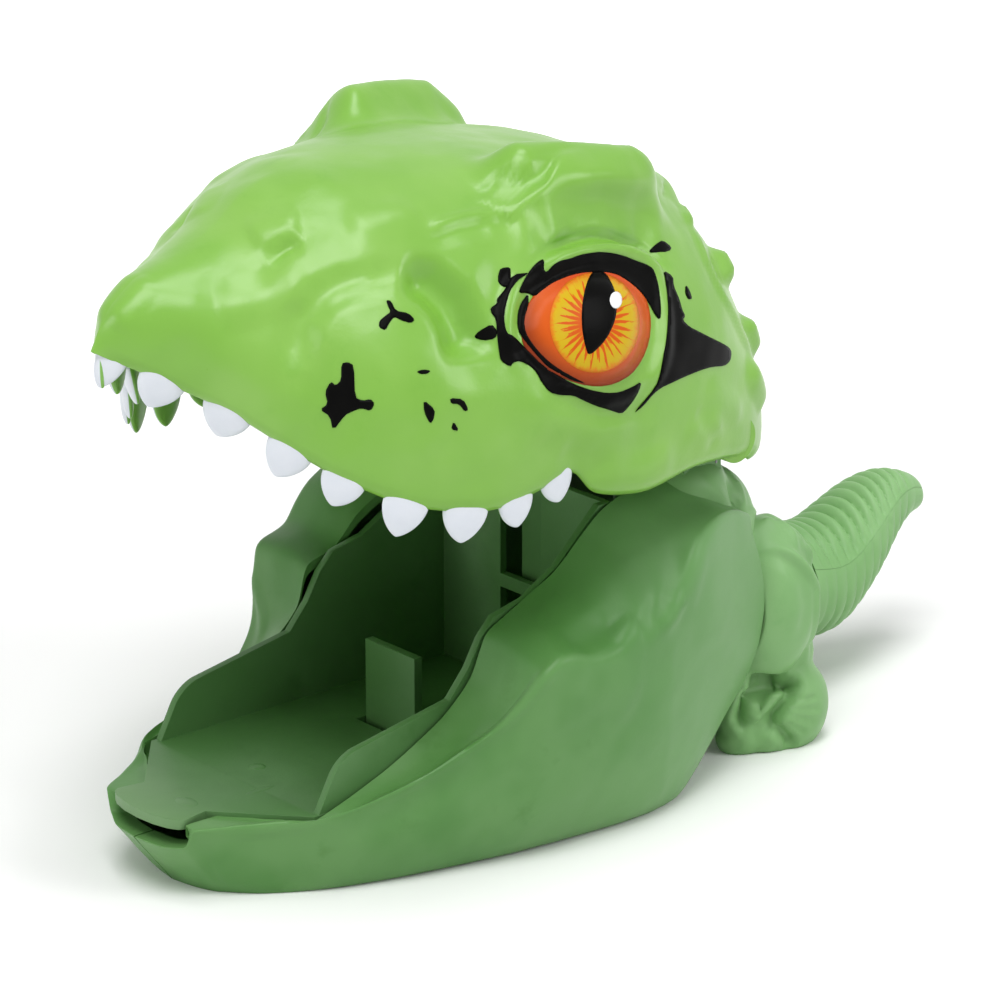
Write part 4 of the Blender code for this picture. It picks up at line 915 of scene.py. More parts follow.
SMALL_MARKS = (
    ((662.4, 240), (671.5, 247.4), (669, 251.5), (650.8, 253), (649, 250.7), (655.8, 244)),
    ((685.6, 284.7), (689.3, 290.5), (692, 298.8), (688, 299.6), (684.8, 293)),
    ((500.7, 268), (510.3, 267.3), (510.7, 274.7), (511.5, 284.7), (505, 288), (498, 283), (498, 274.7)),
    ((473.7, 337.5), (478.5, 331.5), (491.7, 323.8), (497.7, 331.5), (495.3, 338.7), (483.3, 340.7)),
    ((386.3, 300.3), (391, 301), (395.7, 311), (408, 313), (415, 319.8), (411, 323.3), (401.5, 320.6),
     (394.3, 316.6), (389.5, 322.5), (385.5, 330.6), (378.8, 327.3), (379.3, 321), (385.5, 315.8),
     (390.8, 311.8), (387.4, 305)),
    ((341.3, 363.5), (348, 362), (354, 365.4), (355, 397.5), (362.7, 400.7), (370.7, 399),
     (374.8, 403.7), (370.7, 411), (361.4, 408), (352, 411.5), (345, 415), (333, 431), (330, 416),
     (320, 409.6), (328, 404), (325, 392), (330.6, 381.4), (336, 385.5), (341.3, 380)),
    ((416.3, 371.5), (423, 369.4), (431, 370.7), (427, 374), (420.3, 374)),
    ((423.5, 399.7), (435, 409.6), (433.7, 419), (430, 424), (424, 412)),
    ((449.8, 398), (463, 399), (468.5, 409.6), (464.5, 411.5), (459, 404), (451, 403.7)),
    ((453.5, 421), (459, 431), (451, 429.5)))


def oval(centre, radii, count=48):
    turn = np.linspace(0.0, 2 * math.pi, count, endpoint=False)
    return np.column_stack((centre[0] + radii[0] * np.cos(turn), centre[1] + radii[1] * np.sin(turn)))


print("black marks:", len(SMALL_MARKS), "small ones and four around the eye")

# %% [markdown]
# The inks themselves: deep black, orange for the ball of the eye, yellow for the iris and white for the
# glint. Each point of the eye's patches remembers where the camera sees it, counted from the middle of
# the iris, so that the colours can run outwards from there: a ring of orange spikes, a rim and streaks.
# Shade is painted into them too: the ball darkens towards its lower, outer edge, and ball and iris
# are painted deeper under the upper lid.

# %% Ink patches
PATCH_STEP, CORNER_CUT = 2.4, 0.22
INK_THICK = 0.12
SPIKES = 30


def rounded(outline, passes=1):
    """An outline with its corners cut."""
    line = np.asarray(outline, float)
    for _ in range(passes):
        after = np.roll(line, -1, axis=0)
        near, far = (1 - CORNER_CUT) * line, (1 - CORNER_CUT) * after
        line = np.stack((near + CORNER_CUT * after, CORNER_CUT * line + far), 1).reshape(-1, 2)
    return line


def filled(outline):
    """Spots and triangles that fill an outline."""
    x, y = outline.T
    if np.sum(x * np.roll(y, -1) - y * np.roll(x, -1)) < 0:
        outline = outline[::-1]
    low, high = outline.min(axis=0), outline.max(axis=0)
    across, down = np.meshgrid(*(np.arange(*ends, PATCH_STEP) for ends in zip(low, high)))
    spots = np.column_stack((across.ravel(), down.ravel()))
    spots = spots[depth_inside(outline, spots) > 0.5 * PATCH_STEP]
    flat = [Vector(spot) for spot in np.vstack((outline, spots))]
    made = delaunay_2d_cdt(flat, [], [list(range(len(outline)))], 1, 1e-4)
    return np.array([tuple(spot) for spot in made[0]]), np.array(made[2])


def ink(name, outlines, finish, lift, centre=(0.0, 0.0), radii=(1.0, 1.0)):
    """A print on both sides of the head. Its points keep their place in the picture as an attribute."""
    points, faces, places = [], [], []
    for outline in outlines:
        spots, triangles = filled(np.asarray(outline, float))
        on, normals = seen_at(head_tree, spots)
        on = on + normals * lift
        place = (spots - np.array(centre)) / np.array(radii)
        for side in (1.0, -1.0):
            start = len(points)
            points.extend((on * np.array((side, 1.0, 1.0))).tolist())
            turned = triangles[:, ::-1] if side > 0 else triangles
            faces.extend((turned + start).tolist())
            places.extend(np.column_stack((place[:, 0], -place[:, 1], np.zeros(len(place)))).tolist())
    mesh = make_mesh(name, points, faces)
    where = mesh.attributes.new("print_place", "FLOAT_VECTOR", "POINT")
    where.data.foreach_set("vector", np.array(places, np.float32).ravel())
    piece = make_piece(name, mesh, finish, "head", "head_plastic")
    add_wall(piece, INK_THICK)
    return piece


def black_ink():
    finish = Finish("black_ink", specular_ior_level=0.035)
    cloud = finish.noise(160.0, 3.0, 0.6)
    finish.surface("Base Color", finish.mix(cloud, (0.0012, 0.0012, 0.0012), (0.004, 0.004, 0.0036)))
    finish.surface("Roughness", 0.24 + 0.14 * cloud)
    finish.bumps((finish.noise(1800.0), 0.004 * MM))
    return finish


def eye_parts(finish):
    """Place, distance and angle from the middle of the iris, and streaks that run out from there."""
    where = finish.node("ShaderNodeAttribute", {"attribute_name": "print_place"}, out="Vector")
    apart = finish.node("ShaderNodeSeparateXYZ", {}, {0: where})
    x, y = apart, Field(finish, apart.socket.node.outputs["Y"])
    far = (x * x + y * y) ** 0.5
    angle = x.maths("ARCTAN2", y, x)
    line = finish.node("ShaderNodeCombineXYZ", {}, {"X": angle * 3.4, "Y": far * 0.9})
    streaks = finish.noise(3.2, 3.0, 0.65, where=line)
    return x, y, far, angle, streaks


def eye_ball_colours_and_shade():
    finish = Finish("eye_orange", specular_ior_level=0.12, roughness=0.36)
    _, y, far, _, streaks = eye_parts(finish)
    # Painted shade: the ball is painted darker towards its outer and lower edge.
    shade = finish.mix((far - 0.30 * y).step(1.05, 1.75), (0.62, 0.098, 0.010), (0.26, 0.036, 0.010))
    # Painted shade: a deeper orange band under the upper lid.
    shade = finish.mix((y + 0.25 * (streaks - 0.5)).step(0.45, 1.0), shade, (0.60, 0.075, 0.018))
    finish.surface("Base Color", shade)
    return finish


def iris_colours_and_lid_shade():
    finish = Finish("iris_yellow", specular_ior_level=0.10, roughness=0.36)
    x, y, far, angle, streaks = eye_parts(finish)
    saw = x.maths("FRACT", angle * (SPIKES / (2 * math.pi)) + 0.8 * streaks) - 0.5
    reach = 0.74 + 1.1 * (streaks - 0.5)
    spikes = (1.35 * (1.0 - (far - 0.20) / reach) - x.maths("ABSOLUTE", saw) * 2.0).step(0.0, 0.2)
    rim = (far + 0.25 * (streaks - 0.5)).step(0.86, 0.99)
    shade = finish.mix(far.step(0.2, 0.7), (0.66, 0.28, 0.010), (0.60, 0.40, 0.014))
    shade = finish.mix(spikes, shade, (0.62, 0.095, 0.008))
    shade = finish.mix(rim * 0.8, shade, (0.70, 0.150, 0.012))
    # Painted shade: the top of the iris is painted deeper orange, as in the shadow of the upper lid.
    shade = finish.mix((y + 0.2 * (streaks - 0.5)).step(0.6, 1.05) * 0.5, shade, (0.58, 0.10, 0.012))
    finish.surface("Base Color", shade)
    return finish


def glint_white():
    finish = Finish("glint_white", specular_ior_level=0.5)
    cloud = finish.noise(300.0)
    finish.surface("Base Color", finish.mix(cloud, (0.86, 0.88, 0.90), (0.95, 0.95, 0.96)))
    finish.surface("Roughness", 0.2 + 0.1 * cloud)
    return finish


BLACK_INK = black_ink()
eye_place = {"centre": IRIS_CENTRE, "radii": IRIS_RADII}
ink("eye_ball_print", [rounded(EYE_OPENING)], eye_ball_colours_and_shade(), 0.10, **eye_place)
ink("eye_iris_print", [oval(IRIS_CENTRE, IRIS_RADII)], iris_colours_and_lid_shade(), 0.15, **eye_place)
ink("eye_pupil_print", [rounded(PUPIL, 2)], BLACK_INK, 0.20)
ink("eye_glint_print", [oval(GLINT_CENTRE, GLINT_RADII, 28)], glint_white(), 0.25)
ink("eye_liner_print", [rounded(line) for line in (UPPER_LINER, LOWER_LINER, FRONT_BAND, REAR_WEDGE)],
    BLACK_INK, 0.18)
ink("skin_marks_print", [rounded(line) for line in SMALL_MARKS], BLACK_INK, 0.12)

# %% [markdown]
# ## The jaw casing
# Two halves meet on a seam under the chin. Each is a skin lofted through sections that go from the seam
# round the side to a ridge, and then in over a ledge to the tray's edge. A curve that overshoots would
# bulge beside the notch at the nose, so the stations are joined by a curve that never goes past them,
# and only the ridge is softened. The right half keeps the left one's sections apart from its ridge,
# which runs lower in front and then steps up to a taller block.

# %% Casing stations
# Each station: y, z and x where the underside ends, x, y and z of the ridge, and z at the tray's edge
JAW_STATIONS = (
    (-97.5, 0.0, 0.0, 0.0, -107.0, 12.0, 12.0), (-96.5, 0.0, 6.0, 6.8, -106.2, 12.0, 12.0),
    (-94.5, 0.0, 11.0, 12.0, -103.8, 12.4, 12.4), (-93.5, 0.0, 12.0, 14.6, -102.6, 16.6, 16.8),
    (-89.5, 0.0, 16.5, 18.8, -95.5, 17.0, 17.0), (-84.0, 0.0, 20.5, 23.4, -88.0, 17.2, 17.0),
    (-76.0, 0.0, 24.5, 29.0, -82.0, 18.2, 17.4), (-64.0, 0.0, 28.5, 35.4, -66.5, 22.6, 22.4),
    (-48.0, 0.0, 32.3, 42.0, -48.5, 31.8, 31.0), (-41.0, 0.0, 33.6, 45.3, -41.5, 38.0, 37.6),
    (-36.0, 0.0, 34.5, 47.3, -37.2, 43.6, 46.0), (-31.0, 0.0, 35.2, 48.0, -32.8, 45.2, 48.4),
    (-18.0, 0.0, 36.7, 48.2, -19.7, 43.2, 54.4), (-9.0, 0.0, 37.5, 47.9, -11.0, 46.2, 61.4),
    (-3.0, 0.0, 37.5, 47.4, -5.0, 47.6, 65.6), (1.0, 0.0, 37.0, 46.6, -1.0, 52.0, 67.0),
    (6.0, 0.3, 36.3, 45.0, 5.5, 60.0, 67.5), (14.0, 2.2, 33.0, 41.8, 14.5, 63.0, 67.5),
    (22.0, 5.5, 29.0, 38.5, 22.0, 61.5, 66.5), (28.0, 9.0, 25.0, 36.0, 28.0, 58.5, 64.0))
# Stations of the right half whose ridge differs: its x, y and z
FAR_RIDGES = {7: (34.6, -66.5, 20.6), 8: (41.0, -49.5, 24.6), 9: (44.0, -42.6, 31.0),
              10: (44.6, -39.6, 46.4), 11: (45.0, -32.6, 48.8), 12: (45.0, -25.6, 57.4),
              13: (44.6, -12.0, 63.4), 14: (44.3, -5.0, 64.6), 15: (44.0, -1.0, 65.2),
              16: (43.4, 5.5, 65.4)}
FAR_STATIONS = [(*row[:3], *FAR_RIDGES.get(number, row[3:6]), row[6])
                for number, row in enumerate(JAW_STATIONS)]
CASING_WALL = 2.2
NOSE_STATIONS, NOSE_LEDGE = 3, 5.0
LEDGE_SAG, SAG_STATIONS = 2.0, (4, 8)
LEDGE_SWELL, SWELL_STATIONS = 2.5, (8, 12, 14, 18)
REAR_SWELL, REAR_STATIONS = 6.0, 4
SEAM_HALF_GAP = 0.22
TRAY_HALF, TRAY_SIDE_GAP, TRAY_FRONT = 26.8, 0.6, -82.0
TONGUE_CORNER, TONGUE_NOTCH = (11.0, -102.5), (10.0, -96.5)
FLOOR_POINTS, SIDE_POINTS, LEDGE_POINTS = 14, 56, 30
ROW_STEP = 1.3
RIDGE_REACH, RIDGE_PASSES = 6, 3


def tongue_edge(y):
    """Half the width of the tray floor at a place along it."""
    return np.interp(y, (TONGUE_CORNER[1], TONGUE_NOTCH[1], TRAY_FRONT),
                     (TONGUE_CORNER[0], TONGUE_NOTCH[0], TRAY_HALF))


def jaw_section(stations, number, wall=0.0):
    """A half section, set in by a wall, from the floor seam round the side and over the ledge."""
    bottom_y, bottom_z, bottom_x, ridge_x, ridge_y, ridge_z, edge_z = stations[number]
    last = len(stations) - 1
    before, after = stations[max(number - 1, 0)], stations[min(number + 1, last)]
    inward = np.array((before[4] - after[4], after[3] - before[3], 0.0))
    if number == 0:
        inward = np.array((0.0, 1.0, 0.0))
    inward /= np.linalg.norm(inward)
    up = np.array((0.0, 0.0, wall))
    bottom = np.array((bottom_x, bottom_y, bottom_z)) + inward * wall / 2 + up
    ridge = np.array((ridge_x, ridge_y, ridge_z)) + inward * wall - up
    floor_line = np.linspace(bottom * np.array((0.0, 1.0, 1.0)), bottom, FLOOR_POINTS, endpoint=False)
    turn = np.linspace(0.0, math.pi / 2, SIDE_POINTS)
    rise = 1 - np.cos(turn)
    side_line = bottom + (ridge - bottom) * np.column_stack((np.sin(turn), rise, rise))
    if number < NOSE_STATIONS:
        edge, sag = np.array((ridge_x, ridge_y, ridge_z)) + inward * NOSE_LEDGE - up, 0.0
    else:
        edge = np.array((tongue_edge(ridge_y) + TRAY_SIDE_GAP, ridge_y, edge_z)) - up
        start, full, fade, end = SWELL_STATIONS
        raised = ramp(start, full, number) * (1 - ramp(fade, end, number))
        sag = LEDGE_SAG * ramp(*SAG_STATIONS, number) - (LEDGE_SAG + LEDGE_SWELL) * raised
    f = np.linspace(0.0, 1.0, LEDGE_POINTS + 1)[1:, None]
    ledge_line = ridge + (edge - ridge) * f
    ledge_line[:, 2] -= sag * np.sin(math.pi * f[:, 0])
    line = np.vstack((floor_line, side_line, ledge_line))
    swell = ramp(last - REAR_STATIONS, last, number) * REAR_SWELL
    low, high = bottom_z + CASING_WALL, ridge_z - CASING_WALL
    line[:, 1] += swell * np.sin(math.pi * np.clip((line[:, 2] - low) / (high - low), 0.0, 1.0))
    line[:, 0] = np.maximum(line[:, 0], SEAM_HALF_GAP)
    return line


def steady(table, at):
    """Values between stations on a curve that never goes past them."""
    last = len(table) - 1
    low = np.minimum(at.astype(int), last - 1)
    f = (at - low).reshape(-1, *([1] * (table.ndim - 1)))
    step = np.diff(table, axis=0)
    first, second = step[:-1], step[1:]
    alike = first * second > 0
    total = np.where(alike, first + second, 1.0)
    slope = np.concatenate((step[:1], np.where(alike, 2 * first * second / total, 0.0), step[-1:]))
    a, b, ta, tb = table[low], table[low + 1], slope[low], slope[low + 1]
    return (a * (1 + 2 * f) * (1 - f) ** 2 + ta * f * (1 - f) ** 2
            + b * f ** 2 * (3 - 2 * f) + tb * f ** 2 * (f - 1))


def row_numbers(table):
    """Fractional station numbers, closer together where stations are far apart."""
    numbers = [0.0]
    for index, gap in enumerate(np.linalg.norm(np.diff(table, axis=0), axis=2).max(axis=1)):
        count = max(3, math.ceil(gap / ROW_STEP))
        numbers.extend((index + np.arange(1, count + 1) / count).tolist())
    return np.array(numbers)


print("casing stations:", len(JAW_STATIONS), "with", len(FAR_RIDGES), "ridges of their own on the right")

# %% [markdown]
# The skins are closed bodies: an outer loft with strokes and an inner one set in by the wall, joined all
# round. A Solidify modifier would be shorter, but it swells at the tight turn of the ridge.

# %% Casing skins
CASING_LUMPS = ((0.32, 13.0, 3), (0.16, 6.0, 4))
CALM_SEAM, CALM_FOOT = 6.0, 3.0
CASING_CREASE = math.radians(48)
CASING_STROKES = (
    # Crisp rim along the ridge and the fold below it
    (((205, 836), (269, 829), (322, 819), (364, 804), (416, 781), (504, 722), (553, 667), (570, 655)),
     2.6, 0.45),
    (((330, 836), (400, 812), (470, 772), (530, 720)), 5.0, -0.5),
    # Swollen rim behind the mouth corner, an edge on the ridge, the pocket on the ledge and the knuckles
    (((690, 540), (712, 590), (716, 650)), 14.0, 0.9),
    (((506, 722), (532, 692), (555, 666)), 2.2, 0.5),
    (((572, 648), (590, 636), (620, 622)), 6.0, -1.0),
    (((614, 640), (629, 630), (640, 622)), 4.0, 1.0),
    (((660, 626), (670, 612), (678, 592)), 4.5, 1.1),
    (((640, 640), (652, 620), (664, 600)), 3.5, -0.8),
    (((686, 610), (694, 575), (700, 545)), 4.0, 0.6),
    (((640, 664), (690, 655), (724, 690)), 9.0, -0.7),
    (((560, 690), (600, 690), (640, 700)), 9.0, 0.6),
    (((420, 800), (520, 770), (600, 745)), 10.0, -0.5))


def casing_grid(stations, wall):
    """The skin of a half, set in by a wall, with its ridge softened."""
    table = np.array([jaw_section(stations, number, wall) for number in range(len(stations))])
    outer = np.array([jaw_section(stations, number) for number in range(len(stations))])
    grid = steady(table, row_numbers(outer))
    ridge = FLOOR_POINTS + SIDE_POINTS - 1
    band = slice(ridge - RIDGE_REACH, ridge + RIDGE_REACH + 1)
    for _ in range(RIDGE_PASSES):
        near = grid[:, band]
        grid[:, band][:, 1:-1] = 0.25 * near[:, :-2] + 0.5 * near[:, 1:-1] + 0.25 * near[:, 2:]
    return grid


def dressed_casing(grid):
    """The outer skin with its strokes and the slight waviness of the moulding."""
    points = grid.reshape(-1, 3)
    rise = stroke_heights(points, tree_of(grid, grid_faces(*grid.shape[:2])), CASING_STROKES)
    rise += waviness(points, CASING_LUMPS)
    rise *= ramp(0.0, CALM_SEAM, points[:, 0]) * ramp(0.0, CALM_FOOT, points[:, 2])
    return (points + grid_normals(grid).reshape(-1, 3) * rise[:, None]).reshape(grid.shape)


def casing_mesh(name, stations, sign):
    rings = np.concatenate((dressed_casing(casing_grid(stations, 0.0)),
                            casing_grid(stations, CASING_WALL)[:, ::-1]), axis=1)
    rows, columns = rings.shape[:2]
    faces = grid_faces(rows, columns, wrap=True).tolist()
    for row in (0, rows - 1):
        for column in range(columns // 2 - 1):
            other = columns - 1 - column
            faces.append([row * columns + place for place in (column, column + 1, other - 1, other)])
    skin = make_mesh(name, rings * np.array((sign, 1.0, 1.0)), faces, weld=0.004, closed=True)
    skin.set_sharp_from_angle(angle=CASING_CREASE)
    return skin


for side, sign, stations in (("left", 1.0, JAW_STATIONS), ("right", -1.0, FAR_STATIONS)):
    name = "casing_" + side
    make_piece(name, casing_mesh(name, stations, sign), JAW_GREEN, "base", "jaw_plastic", "jaw_" + name)

# %% [markdown]
# Inside the head each casing half carries a bored tower for the hinge pin, and the head has a round boss
# beside it. Each is a plate, so its outline and its bore are two loops with the same number of points,
# joined by faces. A tower has a round top and a flat foot.

# %% Hinge towers and head bosses
HINGE_Y, HINGE_Z, HINGE_PIN = 20.0, 78.0, 1.6
TOWER_INNER, TOWER_OUTER, TOWER_RADIUS, TOWER_FOOT = 25.5, 30.0, 5.2, 52.0
BOSS_INNER, BOSS_OUTER, BOSS_RADIUS = 36.0, 40.4, 5.0
PIN_GAP = 0.3
TOP_POINTS, DROP_POINTS, FOOT_POINTS = 40, 12, 14
BORE_CREASE = math.radians(40)


def loop_at(x, points):
    return np.column_stack((np.full(len(points), x), points))


def bored_plate(name, outline, x0, x1):
    """A plate across X with a bore for the hinge pin."""
    turn = np.arctan2(outline[:, 1] - HINGE_Z, outline[:, 0] - HINGE_Y)
    hole = HINGE_PIN + PIN_GAP
    bore = np.column_stack((HINGE_Y + hole * np.cos(turn), HINGE_Z + hole * np.sin(turn)))
    loops = np.array([loop_at(x0, outline), loop_at(x1, outline), loop_at(x1, bore), loop_at(x0, bore)])
    faces = grid_faces(5, len(outline), wrap=True) % (4 * len(outline))
    mesh = make_mesh(name, loops, faces, closed=True)
    mesh.set_sharp_from_angle(angle=BORE_CREASE)
    return mesh


def tower_outline():
    turn = np.linspace(0.0, math.pi, TOP_POINTS)
    top = np.column_stack((HINGE_Y + TOWER_RADIUS * np.cos(turn), HINGE_Z + TOWER_RADIUS * np.sin(turn)))
    drop = np.linspace(0.0, 1.0, DROP_POINTS)[1:, None]
    front = top[-1] + drop * (np.array((HINGE_Y - TOWER_RADIUS, TOWER_FOOT)) - top[-1])
    rear = top[0] + drop * (np.array((HINGE_Y + TOWER_RADIUS, TOWER_FOOT)) - top[0])
    foot = np.linspace(front[-1], rear[-1], FOOT_POINTS)[1:-1]
    return np.vstack((top, front, foot, rear[::-1]))


for side, sign in (("left", 1.0), ("right", -1.0)):
    tower = bored_plate("hinge_tower_" + side, tower_outline(), sign * TOWER_INNER, sign * TOWER_OUTER)
    make_piece("hinge_tower_" + side, tower, JAW_GREEN, "base", "jaw_plastic")
    boss = bored_plate("head_boss_" + side, oval((HINGE_Y, HINGE_Z), (BOSS_RADIUS, BOSS_RADIUS)),
                       sign * BOSS_INNER, sign * BOSS_OUTER)
    make_piece("head_boss_" + side, boss, HEAD_GREEN, "head", "head_plastic")

# %% [markdown]
# ## Tray and kicker
# The tray is flat plates: its solid already has the right walls, slot and windows. What a mould adds is
# round edges, so a copy of the solid gets its flat faces joined again and its edges bevelled, with a
# larger round on the front corner of each side wall.

# %% Tray and kicker
WALL_CORNER, WALL_CORNER_ROUND, CORNER_NEAR = (-75.0, 28.5), 4.0, 0.1
EDGE_ROUND, EDGE_STEPS, EDGE_TURN = 0.45, 3, math.radians(38)
SAME_POINT, FLAT_TURN = 0.001, math.radians(1.5)


def copy_of(node_name):
    """A solid's mesh in world place, with its flat faces joined."""
    node = frame["nodes"][node_name]
    form = bmesh.new()
    form.from_mesh(node.data)
    form.transform(node.matrix_world)
    bmesh.ops.remove_doubles(form, verts=form.verts, dist=SAME_POINT * MM)
    bmesh.ops.dissolve_limit(form, angle_limit=FLAT_TURN, verts=form.verts, edges=form.edges)
    return form


def edged_piece(name, form, finish, body, slot, *nodes):
    """A piece of flat faces whose edges are bevelled."""
    piece = make_piece(name, mesh_from(form, name), finish, body, slot, *nodes)
    edge = piece.modifiers.new("edges", "BEVEL")
    edge.width = EDGE_ROUND * MM
    edge.segments = EDGE_STEPS
    edge.limit_method = "ANGLE"
    edge.angle_limit = EDGE_TURN
    edge.harden_normals = True
    return piece


tray_form = copy_of("mouth_tray")
corner_edges = [edge for edge in tray_form.edges
                if all(abs(v.co.y / MM - WALL_CORNER[0]) < CORNER_NEAR
                       and abs(v.co.z / MM - WALL_CORNER[1]) < CORNER_NEAR for v in edge.verts)]
print("front corners of the tray walls:", len(corner_edges))
bmesh.ops.bevel(tray_form, geom=corner_edges, offset=WALL_CORNER_ROUND * MM, offset_type="OFFSET",
                segments=8, profile=0.5, affect="EDGES")
edged_piece("tray", tray_form, TRAY_GREEN, "base", "tray_plastic", "mouth_tray")
edged_piece("kicker", copy_of("launch_kicker"), TRAY_GREEN, "kicker", "tray_plastic", "launch_kicker")

# %% [markdown]
# Small things show that the tray was moulded: low round marks of the pins that pushed it out of its
# mould lie on the floor, and behind the window of the back wall a plate leaves a dark slot.

# %% Marks on the tray floor and the plate behind its window
TRAY_FLOOR = 17.6
# Each mark: its centre on the floor, its radii and its height
FLOOR_MARKS = (((-1.3, -74.2), (1.9, 1.9), 0.5), ((3.9, -96.4), (3.3, 2.2), 0.4),
               ((8.7, -81.5), (1.2, 5.0), 0.3))
WINDOW_PLATE = ((-4.6, 0.2, 20.0), (9.6, 1.8, 63.0))
MARK_RINGS, MARK_SIDES, MARK_TOP = 9, 36, 0.97


def low_mark(centre, radii, height):
    """A low dome on the floor, as rings from its foot to its top."""
    turn = np.linspace(0.0, 2 * math.pi, MARK_SIDES, endpoint=False)
    rings = []
    for share in np.linspace(0.0, MARK_TOP, MARK_RINGS):
        wide = math.cos(share * math.pi / 2)
        level = TRAY_FLOOR + height * math.sin(share * math.pi / 2)
        rings.append(np.column_stack((centre[0] + radii[0] * wide * np.cos(turn),
                                      centre[1] + radii[1] * wide * np.sin(turn),
                                      np.full(MARK_SIDES, level))))
    return rings


mark_points, mark_faces = [], []
for centre, radii, height in FLOOR_MARKS:
    start = len(mark_points)
    mark_points.extend(np.concatenate(low_mark(centre, radii, height)).tolist())
    mark_faces.extend((grid_faces(MARK_RINGS, MARK_SIDES, wrap=True) + start).tolist())
    mark_faces.append(list(range(start, start + MARK_SIDES)))
    mark_faces.append(list(range(len(mark_points) - MARK_SIDES, len(mark_points))))
make_piece("tray_marks", make_mesh("tray_marks", mark_points, mark_faces, closed=True),
           TRAY_GREEN, "base", "tray_plastic")

plate_form = bmesh.new()
plate_low, plate_high = np.array(WINDOW_PLATE)
plate_place = Matrix.Translation(Vector((plate_low + plate_high) / 2 * MM))
plate_size = Matrix.Diagonal((*((plate_high - plate_low) * MM), 1.0))
bmesh.ops.create_cube(plate_form, size=1.0, matrix=plate_place @ plate_size)
edged_piece("window_plate", plate_form, TRAY_GREEN, "base", "tray_plastic")

# %% [markdown]
# ## Hind body
# The torso and the folded leg are one soft form, cast in two halves. Lofts alone would leave creases
# where thigh, shank and foot meet, so the simple forms are melted together with a voxel remesh, as a
# sculptor would join balls of clay, and then the folds are drawn in with strokes. In front it is held
# back from the casing's rear rim, with a narrow gap.

# %% Torso and legs
# Each station: y, half the width, bottom and top
BODY_STATIONS = ((28.3, 31.6, 9.4, 64.5), (36.0, 31.0, 10.0, 61.0), (45.0, 28.4, 11.0, 53.0),
                 (55.0, 23.0, 11.6, 43.5), (63.0, 18.2, 11.8, 38.6), (69.4, 15.6, 11.0, 36.8))
BODY_ROUNDNESS, BODY_REAR_LEAN = 2.3, 1.2
# Balls of clay for thigh, heel, shank, foot and neck: centre and radii
CLAY = (((25.4, 42.3, 33.5), (11.6, 11.8, 18.5)), ((27.6, 47.8, 8.0), (7.6, 10.8, 11.4)),
        ((25.0, 49.6, 19.5), (6.4, 6.6, 9.5)),
        ((24.5, 37.5, 2.6), (4.8, 6.0, 4.6)), ((26.6, 45.0, 3.0), (6.0, 8.4, 5.6)),
        ((25.6, 35.6, 11.0), (4.8, 4.6, 10.0)), ((20.0, 21.0, 54.0), (14.6, 11.5, 21.8)),
        ((21.5, 18.0, 58.0), (12.8, 10.0, 16.0)), ((22.0, 28.3, 54.0), (11.0, 10.0, 12.2)))
VOXEL, MELT_PASSES = 0.75, 5
BODY_RINGS, RING_POINTS = 34, 60
BALL_SIDES, BALL_RINGS = 40, 28
BODY_LUMPS = ((0.16, 9.0, 5), (0.08, 4.0, 6))
BODY_GAP = 0.9
BODY_STROKES = (
    # The dark fold below the thigh, the fingers in it and the wrinkles of the heel
    (((753, 680), (775, 684), (794, 683), (798, 692)), 2.6, -5.0),
    (((797, 688), (782, 708), (764, 726)), 2.5, -3.6),
    (((767, 687), (748, 699), (740, 720), (750, 731)), 2.5, -3.6),
    (((784, 685), (769, 702), (752, 723)), 1.8, 1.4),
    (((792, 703), (804, 700), (818, 696)), 1.1, -0.6), (((792, 710), (806, 709), (820, 708)), 1.1, -0.6),
    (((790, 717), (803, 719), (816, 722)), 1.1, -0.6), (((785, 723), (796, 728), (806, 734)), 1.1, -0.6),
    (((762, 725), (780, 731), (790, 741), (789, 750)), 2.2, -2.2),
    (((740, 740), (758, 744), (778, 742)), 4.0, 0.8),
    # The round edge at the back of the thigh and the shallow groove behind it
    (((762, 550), (778, 548), (793, 555), (806, 568), (815, 587), (815, 609), (806, 646), (806, 667)),
     1.8, 1.1),
    (((772, 556), (790, 564), (803, 582), (807, 606), (800, 640)), 3.0, -0.6),
    (((796, 548), (816, 568), (824, 598), (818, 640)), 2.2, -0.9),
    # Shoulder of the neck, and skin folds from the back towards the tail
    (((700, 478), (722, 500), (738, 530)), 3.0, 0.6), (((726, 478), (733, 500), (741, 520)), 2.0, -0.6),
    (((735, 478), (741, 492), (744, 508)), 1.6, 0.5),
    (((748, 508), (768, 520), (790, 546)), 1.5, 0.6), (((760, 512), (782, 524), (800, 550)), 1.5, 0.6),
    (((775, 523), (798, 538), (813, 566)), 1.5, 0.6), (((790, 524), (812, 545), (824, 575)), 1.5, 0.6))


def body_ring(y):
    """A closed half ring of the torso, flat on the seam."""
    places = np.array(BODY_STATIONS)[:, 0]
    number = np.interp(y, places, np.arange(len(places)))
    _, half, bottom, top = through(BODY_STATIONS, [number])[0]
    turn = np.linspace(-math.pi / 2, math.pi / 2, RING_POINTS)
    x = half * np.abs(np.cos(turn)) ** (2 / BODY_ROUNDNESS) + SEAM_HALF_GAP
    z = (bottom + top) / 2 + (top - bottom) / 2 * signed_power(np.sin(turn), 2 / BODY_ROUNDNESS)
    lean = BODY_REAR_LEAN * ramp(places[-2], places[-1], y) * (top - z) / (top - bottom)
    return np.column_stack((x, y - lean, z))


def casing_rear(z):
    """Where the casing's rear rim stands at a height."""
    bottom_y, bottom_z, _, _, _, ridge_z, _ = JAW_STATIONS[-1]
    low, high = bottom_z + CASING_WALL, ridge_z - CASING_WALL
    return bottom_y + REAR_SWELL * np.sin(math.pi * np.clip((z - low) / (high - low), 0.0, 1.0))


def add_rings(form, rings):
    """A closed loft in a form that is being built."""
    rows = [[form.verts.new(point * MM) for point in ring] for ring in rings]
    for first, second in zip(rows, rows[1:]):
        for i in range(len(first)):
            j = (i + 1) % len(first)
            form.faces.new((first[i], second[i], second[j], first[j]))
    form.faces.new(rows[0])
    form.faces.new(rows[-1][::-1])


